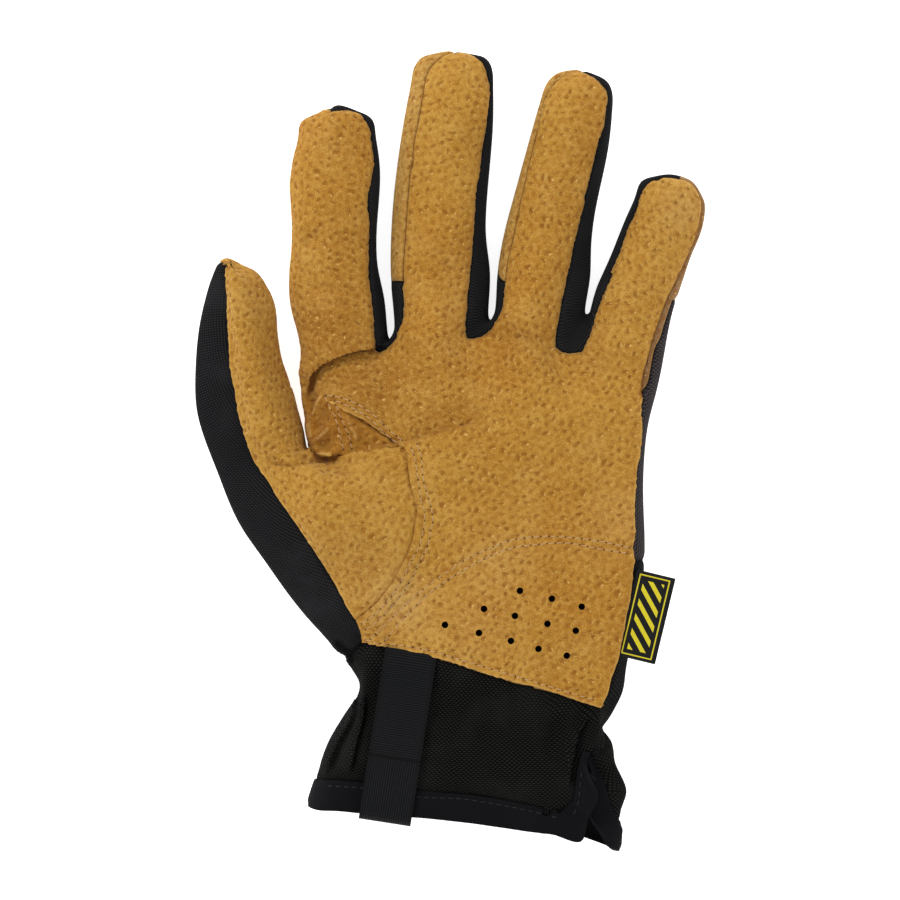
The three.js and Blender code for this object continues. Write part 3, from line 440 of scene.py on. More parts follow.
# Creases sink along a line; rolls stand higher on one side of it and lap over the other
creases = [
    (line((296, 250), (310, 238), (327, 226)), 0.8, 1.6),
    (line((304, 290), (325, 287), (346, 288), (371, 291.5)), 0.7, 1.3),
    (line((329, 305), (350, 301), (371, 296)), 0.6, 1.4),
    (line((330, 320), (352, 322), (368, 314)), 0.4, 2.0),
    (line((305, 372), (307, 385), (308, 399), (311, 412.5)), 1.2, 1.4),
    (line((313, 437), (316, 425), (324, 411), (329, 404)), 1.2, 1.3),
    (line((316, 449), (326, 443), (338, 441)), 0.8, 1.2),
    (line((460, 334), (484.5, 332), (511, 335), (541.6, 342), (556, 344)), 0.8, 2.6),
    (line((590, 330), (606, 318), (620, 300)), 0.5, 2.4),
    (line((343, 411), (361, 421), (378, 432), (396, 444)), 1.1, 1.0),
    (line((372, 345), (392, 340), (412, 344)), 0.5, 1.8),
    (line((380, 352), (404, 352), (430, 346)), 0.45, 2.2),
    (line((408, 208), (432, 214), (458, 212)), 0.35, 2.6),
    (line((512, 214), (540, 224), (566, 226)), 0.35, 2.6),
    (line((634, 236), (652, 252), (668, 258)), 0.35, 2.4),
    (line((410, 276), (436, 270), (462, 272)), 0.3, 2.6),
    (line((318, 470), (332, 480), (342, 494)), 0.5, 1.8),
    (line((337, 462), (345, 470), (350, 480)), 0.5, 1.3),
    (line((320, 434), (323, 426), (329.5, 414)), 0.7, 0.8),
    (line((307.5, 424), (309.5, 410), (313, 398), (320, 388)), 0.6, 0.8),
    (line((317, 446), (325, 449), (333, 449)), 0.8, 0.9),
    (line((358, 424), (362, 436), (362.5, 447)), 0.5, 1.0),
]
ridges = [
    (line((311, 446), (324, 434), (333, 421)), 1.5, 0.8),
    (line((343, 410), (348, 420), (352, 429), (355.5, 438), (356.5, 450)), 0.5, 0.7),
    (line((309, 416), (310, 430), (312, 444)), 0.8, 1.2),
    (line((311, 424), (314, 410), (320, 398), (329, 388)), 0.6, 0.7),
    (line((314, 447.5), (321, 453), (330, 456), (338, 455)), 0.5, 0.7),
]
# line, height of the high side, its width, depth of the low side, its width, overlap,
# darkness of the painted shade along the line
rolls = [
    (line((305, 402), (305.5, 392), (309, 379), (316, 369), (329, 359.5), (343, 353.5),
          (358, 349.5), (374, 347), (392, 345)), 1.4, 5.0, 1.4, 4.5, 1.4, 1.9),
    (line((496, 419), (478, 423), (451, 430), (424.6, 437.5), (403, 442), (382, 446),
          (356, 452), (342, 453)), 0.9, 8.0, 0.9, 6.0, 0.6, 0.3),
    (line((332, 460), (319, 463), (304, 466), (288, 467), (273, 464), (258, 459)),
     0.9, 6.0, 0.7, 7.0, 0.5, 0.5),
    (line((311, 447), (318, 456), (328, 458), (336.5, 456), (342, 452)),
     0.6, 2.2, 1.0, 1.6, 0.7, 1.8),
]

# Pleats where the cuff is gathered at the wrist, in the same columns
pleats = [
    (line((325, 779), (337.7, 742), (350, 708), (360, 684)), 1.0, 3.2, 0.9, 2.4, 0.8, 1.0),
    (line((349, 779), (356, 745), (361.6, 714), (366, 690)), 0.9, 3.2, 0.8, 2.6, 0.8, 1.0),
    (line((352, 668), (341, 654), (331, 641)), 0.9, 3.5, 0.8, 2.5, 0.6, 1.0),
    (line((569, 792), (572, 762), (579, 735), (592, 716)), 0.7, 3.6, 0.8, 2.6, 0.6, 1.0),
    (line((600, 760), (604, 740), (599, 722)), 0.8, 3.0, 0.8, 2.4, 0.5, 1.0),
]
gathers = [
    (line((420, 668), (414, 700), (417, 735)), 0.5, 2.4),
    (line((452, 672), (449, 700), (452, 730)), 0.6, 2.6),
    (line((486, 680), (482, 712), (487, 745)), 0.5, 2.6),
    (line((521, 690), (514, 716), (520, 752)), 0.7, 2.8),
    (line((548, 698), (540, 722), (541, 748)), 0.7, 2.6),
    (line((572, 705), (560, 726), (556, 756)), 0.9, 2.4),
    (line((590, 712), (580, 722), (572, 736)), 0.8, 2.0),
    (line((608, 690), (603, 706), (596, 716)), 0.9, 2.2),
    (line((378, 690), (374, 720), (371, 760)), 0.6, 2.2),
]

# The leather is made darker (below zero) or paler in broad patches; the last three, just
# above the palm's crease, are painted shade. Place, amount and reach in millimetres
tone_and_shade_patches = [
    (line((355, 392))[0], -1.05, 15), (line((328, 322))[0], -0.95, 11),
    (line((338, 240))[0], -0.5, 11), (line((520, 352))[0], -0.45, 14),
    (line((430, 378))[0], -0.35, 14), (line((600, 352))[0], -0.45, 12),
    (line((443, 255))[0], -0.3, 12), (line((322, 422))[0], -0.8, 9),
    (line((640, 288))[0], -0.4, 8), (line((398, 604))[0], 0.75, 11),
    (line((500, 562))[0], 0.4, 14), (line((620, 520))[0], 0.4, 14),
    (line((470, 640))[0], 0.35, 12), (line((680, 208))[0], 0.6, 9),
    (line((345, 556))[0], 0.25, 12), (line((333, 150))[0], 0.25, 8),
    (line((452, 122))[0], -0.15, 10), (line((470, 413))[0], -0.45, 5),
    (line((443, 421))[0], -0.5, 5), (line((418, 428))[0], -0.45, 5),
]

# Small shifts of the skin in the picture's plane: place, shift and reach, in millimetres
nudges = [
    (line((336, 716))[0], (2.2, 0.4), 7.0),
    (line((344, 655))[0], (0.8, 0.5), 4.0),
    (line((336, 106))[0], (0.0, 0.5), 7.0),
    (line((368, 118))[0], (1.0, 0.6), 4.0),
    (line((303, 122))[0], (-0.8, 0.8), 4.5),
    (line((421, 58))[0], (-0.5, 0.9), 4.0),
    (line((484, 61))[0], (1.3, 1.7), 5.0),
    (line((556, 72))[0], (-0.4, 1.0), 4.5),
    (line((580, 69))[0], (0.0, 0.4), 4.0),
    (line((606, 83))[0], (1.3, 1.3), 5.0),
    (line((645, 186))[0], (-1.0, 0.7), 4.0),
    (line((668, 176))[0], (0.0, 0.7), 5.0),
    (line((694, 182))[0], (0.6, 0.9), 4.0),
    (line((696, 255))[0], (-0.9, 0.2), 8.0),
    (line((252, 271))[0], (0.8, 0.9), 6.0),
    (line((225, 262))[0], (0.0, 0.5), 4.0),
    (line((262, 560))[0], (0.5, 0.3), 11.0),
    (line((322, 640))[0], (0.4, 0.3), 6.0),
    (line((622, 692))[0], (1.2, 0.0), 6.0),
    (line((619, 790))[0], (1.6, 0.0), 7.0),
    (line((621, 832))[0], (1.4, 0.0), 5.0),
    (line((330, 810))[0], (0.0, 0.7), 7.0),
]

# Stitched rows, and the leather's dimples, whose radius is a share of their pitch
stitch_pitch = 2.5
row_depth = 0.32
row_width = 0.75
dimple_pitch = 2.9
dimple_radius = 0.36
dimple_depth = 0.26
dimple_turn = math.radians(24)


def normals_of(mesh):
    flat = np.empty(len(mesh.vertices) * 3, np.float32)
    mesh.vertex_normals.foreach_get("vector", flat)
    return flat.reshape(-1, 3).astype(float)


def fade_ends(share, reach):
    """From 0 at a line's ends to 1 between them."""
    return np.clip(share / reach, 0, 1) * np.clip((1 - share) / reach, 0, 1)


def bell(away, width):
    """A soft hump: 1 on a line, and next to nothing at three widths."""
    return np.exp(-(away / width) ** 2)


def hills(place, size, seed):
    """Smooth random hills of about the given size, between -1 and 1."""
    random = np.random.default_rng(seed)
    total = np.zeros(len(place))
    for _ in range(10):
        direction = random.normal(size=3)
        direction *= 2 * math.pi / size / np.linalg.norm(direction) * random.uniform(0.6, 1.4)
        total += np.sin(place @ direction + random.uniform(0, 2 * math.pi))
    return total / 4


point = positions(fine) / mm
normal = normals_of(fine)
corners = np.empty(len(fine.loops), np.int32)
fine.loops.foreach_get("vertex_index", corners)
quads = corners.reshape(-1, 4)
owner = np.empty(len(fine.polygons), np.int32)
fine.polygons.foreach_get("material_index", owner)
flat_cut = np.empty(len(fine.loops) * 2, np.float32)
fine.uv_layers.active.data.foreach_get("uv", flat_cut)
flat_cut = flat_cut.reshape(-1, 2)
plane = seen(point)
palm_side_start = 6


def near(path, reach):
    """Vertices of the palm side within reach of a line, and their places along it."""
    low, high = path.min(0) - reach, path.max(0) + reach
    inside = (plane > low).all(1) & (plane < high).all(1)
    ids = np.flatnonzero(inside & (normal[:, 2] > 0.05) & (point[:, 2] > palm_side_start))
    return ids, *along_line(plane[ids], curved(path))


leather_panels = ["palm_panel", "thumb_panel", "thumb_gusset"]
is_leather = np.zeros(len(point), bool)
for name in leather_panels:
    is_leather[quads[owner == panel_names.index(name)].ravel()] = True
moved = np.zeros_like(point)
# Painted shade (above zero) and painted highlight (below zero) for each vertex, from creases,
# ridges, rolls, stitch rows and seams
painted_shading = np.zeros(len(point))
tone_and_shade = np.zeros(len(point))
for place, amount, reach in tone_and_shade_patches:
    away = np.linalg.norm(plane - place, axis=1)
    tone_and_shade += amount * bell(away, reach) * (normal[:, 2] > -0.2)

# Slow buckles over all the leather and finer ones between them: size, seed and height
buckles = [(26, 3, 0.45), (11, 4, 0.16)]
swell = sum(hills(point, size, seed) * height for size, seed, height in buckles)
moved += normal * (swell * is_leather)[:, None]
for place, shift, reach in nudges:
    away = np.linalg.norm(plane - place, axis=1)
    moved[:, :2] += bell(away, reach)[:, None] * np.array(shift)

# Creases wander in width; painted shade darkens them, and a painted highlight lightens the ridges
line_reach = 4
crease_fade = 0.25
ridge_fade = 0.3
crease_shade = 0.5
ridge_shine = 0.9
for path, depth, width in creases:
    ids, away, _, share = near(path, line_reach * width)
    wander = 1 + 0.25 * np.sin(share * 17) * np.sin(share * 5 + 1)
    shape = bell(away / width, wander) * fade_ends(share, crease_fade)
    moved[ids] -= normal[ids] * (depth * shape)[:, None]
    painted_shading[ids] += crease_shade * shape * min(1, depth)
for path, height, width in ridges:
    ids, away, _, share = near(path, line_reach * width)
    shape = bell(away, width) * fade_ends(share, ridge_fade)
    moved[ids] += normal[ids] * (height * shape)[:, None]
    painted_shading[ids] -= ridge_shine * shape ** 3
for path, depth, width in gathers:
    ids, away, _, share = near(path, line_reach * width)
    shape = bell(away, width) * fade_ends(share, ridge_fade)
    moved[ids] -= normal[ids] * (depth * shape * ~is_leather[ids])[:, None]

# Across a roll the skin steps from its low to its high side, which is drawn over the line
roll_fade = 0.2
step_width = 1.1
drawn_width = 2.2
shade_width = 1.8
shade_share = 0.35
line_width = 0.5
for path, height, high_width, depth, low_width, overlap, darkness in rolls + pleats:
    ids, away, side, share = near(path, line_reach * max(high_width, low_width))
    ends = fade_ends(share, roll_fade)
    high = height * bell(away, high_width)
    low = -depth * bell(away, low_width)
    blend = np.clip(0.5 + side / step_width, 0, 1)
    moved[ids] += normal[ids] * ((low + (high - low) * blend) * ends)[:, None]
    track = curved(path)
    gaps = np.linalg.norm(plane[ids, None] - track[None], axis=2)
    nearest = track[gaps.argmin(axis=1)] - plane[ids]
    toward = nearest / np.maximum(np.linalg.norm(nearest, axis=1), 0.3)[:, None]
    pull = overlap * blend * bell(away, drawn_width) * ends
    moved[ids, :2] += toward * pull[:, None]
    # Painted shadow on the low side beside the lapping edge, and a dark painted line along it
    shade = bell(away, shade_width) * (1 - blend) * ends
    painted_shading[ids] += shade * shade_share * (1 + darkness)
    painted_shading[ids] += darkness * bell(away, line_width) * ends

# Each row of stitches lies in a groove that is deepest at the needle holes; painted shade darkens
# the groove
row_reach = 5
pucker_share = 0.4
row_shade = 0.25
for path in stitch_lines.values():
    ids, away, _, share = near(path, row_reach)
    length = np.linalg.norm(np.diff(path, axis=0), axis=1).sum()
    pucker = 0.5 + 0.5 * np.cos(2 * math.pi * share * length / stitch_pitch)
    groove = bell(away, row_width) * (1 - pucker_share + pucker_share * pucker)
    moved[ids] -= normal[ids] * (row_depth * groove)[:, None]
    painted_shading[ids] += row_shade * groove


def dimple_distance(cut):
    """Distance to the nearest dimple on the flat cut, in pitches."""
    turn = np.array([[math.cos(dimple_turn), math.sin(dimple_turn)],
                     [-math.sin(dimple_turn), math.cos(dimple_turn)]])
    u, v = (cut @ turn.T / dimple_pitch).T
    x = u + 0.16 * np.sin(1.7 * v + 0.9) + 0.13 * np.sin(2.9 * u + 1.3 * v)
    y = v * 1.12 + 0.16 * np.sin(1.9 * u + 0.4) + 0.12 * np.sin(3.1 * v - 1.1 * u)
    x = x + 0.5 * np.mod(np.floor(y + 0.5), 2)
    return np.hypot(x - np.round(x), y - np.round(y))


cut_at = np.zeros((len(point), 2))
cut_at[corners] = flat_cut
inward = np.clip(1 - dimple_distance(cut_at) / dimple_radius, 0, 1)
pressed = inward ** 2 * (3 - 2 * inward)
moved -= normal * (dimple_depth * pressed * is_leather)[:, None]
point += moved
point[:, 2] = np.maximum(point[:, 2], 0)


# The slit at the hem, and the palm's lower edge
# The cuff's front edge laps over its back flap. A smooth band goes round both edges and
# narrows to the slit's upper end.

slit = line((588, 752), (593, 764), (601, 782), (603, 800), (601, 815), (600, 830), (603, 860))
# How far the flap is drawn in under the front edge, down the slit
flap_shift = np.array(((752, 0.0), (762, 2.4), (776, 4.6), (794, 6.4), (810, 7.0),
                       (822, 6.6), (834, 5.0), (844, 2.2), (852, 0.8)))
flap_drop = 3.0
flap_floor = 9
flap_rise = 8
flap_width = 6.5
front_band = line((583, 752), (579.5, 766), (577, 783), (575, 800), (570, 814), (563, 822))
flap_band = line((588, 752), (595, 767), (603, 783), (610, 806), (617, 823), (623, 842),
                 (626, 860))
hem_corner = line((600, 822))[0]


def right_of(places, path):
    """How far places lie to the right of a line that runs down the picture."""
    return places[:, 0] - np.interp(-places[:, 1], -path[:, 1], path[:, 0])


plane = seen(point)
flap = (right_of(plane, slit) > 0) & (plane[:, 1] < slit[0, 1]) & (point[:, 2] > flap_floor)
from_edge = np.maximum(right_of(plane, slit) - 1, 0)
risen = np.clip((point[:, 2] - flap_floor) / flap_rise, 0, 1)
share = bell(from_edge, flap_width) * risen * flap
reach = np.interp(-plane[:, 1], (flap_shift[:, 0] - 450) * px, flap_shift[:, 1])
point[:, 0] -= reach * share
point[:, 2] -= flap_drop * np.minimum(reach / 4, 1) * share
plane = seen(point)

# Faces of the cuff and of its binding change over at the bands' inner edges
front_start = line((540, 735))[0]
back_floor = 4
back_rise = 10
hem_rise = 32 * px
cuff, binding = panel_names.index("cuff"), panel_names.index("cuff_binding")
middle, height = plane[quads].mean(axis=1), point[quads, 2].mean(axis=1)
is_flap = flap[quads].mean(axis=1) > 0.5
in_band = (owner == cuff) | (owner == binding)
facing = normal[quads, 2].mean(axis=1) > 0
front = in_band & facing & ~is_flap & (middle[:, 0] > front_start[0])
front &= (middle[:, 1] < front_start[1]) & (middle[:, 1] > front_band[-1, 1])
banded = (right_of(middle, front_band) > 0) & (middle[:, 1] < front_band[0, 1])
owner[front] = np.where(banded[front], binding, cuff)
back = in_band & is_flap & (height > back_floor)
sunk = 1 - np.clip((height - back_floor) / back_rise, 0, 1)
banded = (right_of(middle, flap_band) < 0) | (middle[:, 1] < hem_corner[1] + sunk * hem_rise)
owner[back] = np.where(banded[back], binding, cuff)


def vertex_tree(ids):
    """A search tree of some of the skin's vertices, numbered in their own order."""
    tree = KDTree(len(ids))
    for i, place in enumerate(point[ids]):
        tree.insert(place, i)
    tree.balance()
    return tree


# Heights above which a seam, and the skin beside it, may be moved
seam_floor = 9
around_floor = 7
seam_neighbours = 5


def fit_seam(first, second, path, reach):
    """The seam between two groups of panels is moved onto a line, and what is beside it too."""
    of_first = np.unique(quads[np.isin(owner, [panel_names.index(n) for n in first])])
    of_second = np.unique(quads[np.isin(owner, [panel_names.index(n) for n in second])])
    track = curved(path, 0.3)
    seam = np.intersect1d(of_first, of_second)
    plane = seen(point)
    gaps = np.linalg.norm(plane[seam, None] - track[None], axis=2)
    nearest = gaps.argmin(axis=1)
    close = (gaps.min(axis=1) < reach) & (nearest > 0)
    close &= (normal[seam, 2] > -0.1) & (point[seam, 2] > seam_floor)
    offsets = (track[nearest] - plane[seam])[close]
    tree = vertex_tree(seam[close])
    around = np.union1d(of_first, of_second)
    around = around[(normal[around, 2] > -0.3) & (point[around, 2] > around_floor)]
    shifts = np.zeros((len(around), 2))
    for row, place in enumerate(point[around]):
        found = tree.find_n(place, seam_neighbours)
        away = found[0][2]
        if away > 3 * reach:
            continue
        used = found if away > 0.01 else found[:1]
        shifts[row] = offsets[[i for _, i, _ in used]].mean(axis=0) * math.exp(-(away / reach) ** 2)
    point[around, :2] += shifts


fit_seam(("cuff",), ("cuff_binding",), front_band, 1.2)
fit_seam(("cuff",), ("cuff_binding",), flap_band, 1.2)
fit_seam(("cuff",), ("cuff_binding",),
         line((313, 780.5), (338, 781.5), (362.5, 783.5), (390, 787), (419, 792), (460.7, 795),
              (495, 799.5), (529.6, 806.5), (560, 814)), 3.0)
fit_seam(("palm_panel", "thumb_panel"), ("cuff", "thumb_back"),
         line((363.5, 640), (375, 643), (392, 646.5), (420, 652), (446, 659), (471, 667),
              (496, 675), (521, 682), (547, 688.5), (573, 697), (600, 707.5)), 4.0)


# The palm's outline
# The leather ends along the thumb's back and the little finger's side, and the thumb's own
# panel is let into it round the ball of the thumb.

thumb_edge = line((226, 268), (226.3, 277.5), (227.4, 298), (228, 319), (229.5, 342),
                  (231, 365), (234.8, 387.7), (238, 408), (243.3, 429), (249, 447),
                  (256.6, 463.5), (267, 478.4), (276, 493.3), (286.4, 509.4), (298, 525.5),
                  (309.4, 542.7), (321, 560), (332.3, 578.3), (342.7, 596.7), (350.4, 611),
                  (357, 622.4), (360.6, 632.7), (363.2, 641.3))
thumb_seam = line((403.5, 442), (408, 452.4), (410, 470.3), (412.4, 485.6), (416.6, 500),
                  (418.8, 512), (416.7, 525.5), (414.2, 541), (410, 552), (404, 565.3),
                  (396.3, 579.6), (387, 593), (377, 605), (365.7, 614.8), (357.6, 621.4))
palm_side = line((635, 480), (633.4, 510.6), (634, 533.6), (632, 546), (631.4, 566),
                 (629.7, 587), (627.4, 602.5), (625, 615), (622, 630), (619, 645.4),
                 (615, 662.2), (610.5, 676), (606, 692), (599.5, 706))
fit_seam(("palm_panel", "thumb_panel"), ("thumb_back",), thumb_edge, 3.0)
fit_seam(("palm_panel",), ("thumb_panel",), thumb_seam, 4.0)
fit_seam(("palm_panel",), ("hand_back", "cuff"), palm_side, 2.5)


# Fingertips, and the little finger's outer side
# The palm's leather is trimmed to a rounded end on every finger. Its cut edge lies close
# to the outline, with the side strips and the stretch cloth just beside it.

middle_left = line((411.7, 167), (413.5, 143), (415.7, 131), (418.4, 118.6), (420.6, 104),
                   (422.9, 90), (425.5, 76), (430, 67), (437, 59.6), (443.4, 54.7), (450, 52.4),
                   (460, 51), (470, 52.5))
middle_right = line((437, 59.6), (443.4, 54.7), (450, 52.4), (460.4, 51), (469.3, 52.5),
                    (476.4, 56), (482.7, 61.4), (486.7, 71.3), (489.4, 82), (491.2, 92.7),
                    (490.3, 101.6), (488.5, 116), (486.7, 128.4), (485.4, 137),
                    (482.7, 153.4), (480.9, 169.5), (479.5, 179))
ring_left = line((522.4, 191.6), (525.8, 174.4), (529, 160), (532.5, 145.7), (535.8, 131.3),
                 (539.2, 115), (542, 103), (548.3, 91), (553, 83), (559.8, 77.3), (568, 72.5),
                 (575, 70.2), (585, 71.5))
ring_right = line((559.8, 77.3), (568, 72.5), (575, 70.2), (582.7, 70.9), (589.4, 73.4),
                  (596, 78), (602, 83.3), (606.7, 90.2), (608.6, 98), (607, 109.3),
                  (605.7, 119), (604.3, 127.5), (599.5, 141), (596.6, 151.4), (594.2, 162),
                  (591.3, 175.4), (585, 197.4))
index_right = line((330, 110.6), (338, 109.5), (345.8, 109), (354.2, 110.3), (361, 113),
                   (365, 117.5), (368.7, 124.4), (371.4, 131.3), (372.2, 139), (373.3, 149.7),
                   (374.9, 159), (374.9, 165.7), (372.9, 175), (371.4, 184), (369, 193.3),
                   (368, 209.4))
little_left = line((610.5, 271), (615.7, 259.5), (622.4, 242.3), (627.7, 226), (632.5, 217.4),
                   (637.3, 205), (638.7, 198.3), (643.5, 187.8), (648.3, 182.5), (654, 179),
                   (662.2, 176.6), (669, 176.4), (683, 178), (691, 182))
little_right = line((654, 179), (662.2, 176.6), (669, 176.4), (683, 178), (691, 182),
                    (697, 188.5), (701.5, 198), (703, 207), (701, 221), (699, 231),
                    (696, 240), (688.6, 256.7), (681, 273), (676, 283.4), (670.6, 294),
                    (666.5, 303), (661, 318), (655.6, 333.7), (649, 357), (645, 371),
                    (642, 388), (640.4, 398))
palm_right = line((640.4, 398), (640.3, 412), (640.8, 432.6), (638.3, 459))
little_outer = line((673.5, 300), (665.3, 324.5), (661.2, 337.8), (655.6, 349), (652, 366),
                    (649, 381.6), (643.9, 390.8), (640.8, 402))
trims = [("middle_side_strip", middle_left), ("fourchette_middle_ring", middle_right),
         ("ring_side_strip", ring_left), ("fourchette_ring_pinky", ring_right),
         ("fourchette_index_middle", index_right), ("fourchette_ring_pinky", little_left),
         ("pinky_side_strip", little_right), ("hand_back", palm_right)]
trim_reach = 4.0
trim_fit = 1.2
trim_floor = 8


def trim(inside, outside, path):
    """Faces beside a line go to the inside panel on its right and to the other on its left."""
    here, there = panel_names.index(inside), panel_names.index(outside)
    ids = np.flatnonzero(((owner == here) | (owner == there)) & upward)
    away, side, share = along_line(middle[ids], curved(path))
    use = (away < trim_reach) & (share > 0) & (share < 1)
    owner[ids[use]] = np.where(side[use] < 0, here, there)


plane = seen(point)
middle, height = plane[quads].mean(axis=1), point[quads, 2].mean(axis=1)
upward = (normal[quads, 2].mean(axis=1) > 0.1) & (height > trim_floor)
for neighbour, path in trims:
    trim("palm_panel", neighbour, path)
    fit_seam(("palm_panel",), (neighbour,), path, trim_fit)

# Below the index finger's rounded end the stretch cloth runs down to the back
index_end, index_far = line((330, 116), (376, 100))
tip = (owner == panel_names.index("palm_panel")) & ~upward
tip &= ((middle > index_end) & (middle < index_far)).all(axis=1)
owner[tip] = panel_names.index("fourchette_index_middle")

# The back of the hand comes up beside the little finger's strip, as far as the strip's seam
strip_reach = 0.8
strip_drop = 0.5
outer_seam = (np.abs(right_of(plane, little_outer)) < strip_reach) & (normal[:, 2] > 0)
outer_seam &= (plane[:, 1] < little_outer[0, 1]) & (plane[:, 1] > little_outer[-1, 1])
by_height = np.argsort(-plane[outer_seam, 1])
seam_level = np.interp(-middle[:, 1], -plane[outer_seam, 1][by_height],
                       point[outer_seam, 2][by_height])
outer = (owner == panel_names.index("pinky_side_strip")) & (middle[:, 1] < little_outer[0, 1])
outer &= (right_of(middle, little_outer) > 0) | (height < seam_level - strip_drop)
owner[outer] = panel_names.index("hand_back")
fit_seam(("pinky_side_strip",), ("hand_back",), little_outer, trim_fit)


# Seams
# Every panel is cut from the skin and shaped at its own edges: turned seams sink in, the
# raw leather lies over the cloth, and each wall gets its real thickness.


def open_edge():
    """Vertices along the hem and the slit, where the skin has no neighbour."""
    sides = np.sort(np.stack([quads, np.roll(quads, -1, axis=1)], axis=2).reshape(-1, 2), axis=1)
    found, count = np.unique(sides, axis=0, return_counts=True)
    return np.unique(found[count == 1])


def seam_points(panel, other):
    """Vertices that a panel shares with another one, or with the open edge."""
    here = np.unique(quads[owner == panel])
    if other is None:
        return np.intersect1d(here, open_edge())
    return np.intersect1d(here, np.unique(quads[owner == other]))


def apply_modifiers(piece):
    bpy.ops.object.select_all(action="DESELECT")
    bpy.context.view_layer.objects.active = piece
    piece.select_set(True)
    for modifier in list(piece.modifiers):
        bpy.ops.object.modifier_apply(modifier=modifier.name)


fabric_strips = ["fourchette_index_middle", "fourchette_middle_ring", "fourchette_ring_pinky"]
leather_strips = ["middle_side_strip", "ring_side_strip"]
# How far each panel's edge rises or sinks beside a neighbour, over what width, and how far
# the edge reaches over that neighbour
seam_shapes = {
    ("palm_panel", "pinky_side_strip"): (-0.5, 1.0, 0.1),
    ("pinky_side_strip", "palm_panel"): (-0.8, 0.9, 0),
    ("palm_panel", "hand_back"): (0.25, 2.0, 0.35),
    ("hand_back", "palm_panel"): (-0.7, 1.2, 0),
    ("palm_panel", "cuff"): (0.45, 2.5, 0.5),
    ("cuff", "palm_panel"): (-0.8, 1.6, 0),
    ("palm_panel", "thumb_panel"): (0.5, 3.0, 0.45),
    ("thumb_panel", "palm_panel"): (-0.65, 1.2, 0),
    ("palm_panel", "thumb_gusset"): (0.5, 2.4, 0.4),
    ("thumb_gusset", "palm_panel"): (-0.7, 1.4, 0),
    ("thumb_panel", "thumb_gusset"): (0.3, 1.6, 0.3),
    ("thumb_gusset", "thumb_panel"): (-0.6, 1.2, 0),
    ("thumb_panel", "thumb_back"): (0.1, 1.6, 0.3),
    ("thumb_back", "thumb_panel"): (-0.75, 1.2, 0),
    ("thumb_panel", "cuff"): (0.35, 2.0, 0.4),
    ("cuff", "thumb_panel"): (-0.8, 1.4, 0),
    ("cuff_binding", "cuff"): (0.35, 3.5, 0.3),
    ("cuff", "cuff_binding"): (-0.5, 1.0, 0),
    ("cuff_binding", "hem"): (-0.75, 1.3, 0),
}
for pair in (("thumb_back", "cuff"), ("hand_back", "cuff"), ("hand_back", "thumb_back")):
    seam_shapes[pair] = seam_shapes[pair[::-1]] = (-0.6, 1.1, 0)
for strip in fabric_strips + leather_strips + ["pinky_side_strip"]:
    seam_shapes[strip, "hand_back"] = seam_shapes["hand_back", strip] = (-0.5, 0.8, 0)
for strip in fabric_strips:
    seam_shapes["palm_panel", strip] = (-0.55, 1.1, 0.15)
    seam_shapes[strip, "palm_panel"] = (-0.95, 1.0, 0)
for strip in leather_strips:
    seam_shapes["palm_panel", strip] = (-0.5, 0.7, 0.1)
    seam_shapes[strip, "palm_panel"] = (-0.8, 0.7, 0)
    for other in fabric_strips:
        seam_shapes[strip, other] = (-0.4, 0.8, 0.1)
        seam_shapes[other, strip] = (-0.7, 0.8, 0)
cloth_panels = fabric_strips + ["thumb_back", "hand_back", "cuff"]
# Left of here the gusset's seam with the palm is folded under, and its edge isn't shaped
hidden_seam = line((341, 410))[0][0]
# Painted shade darkens the skin where a panel's edge dips under its neighbour
seam_shade = 1.3
fine_seam_shade_width = 0.35
strip_seam_shade_width = 0.42
seam_shade_width = 0.6
lap_reach = 2.0
lap_width = 1.2
# The raw edge of the leather wanders a little
ragged = 0.16
ragged_size = 1.7
ragged_seed = 8
ragged_width = 0.5
# How much of its faces a wall keeps at full render, where its inner side is thinned out
wall_kept = 0.56


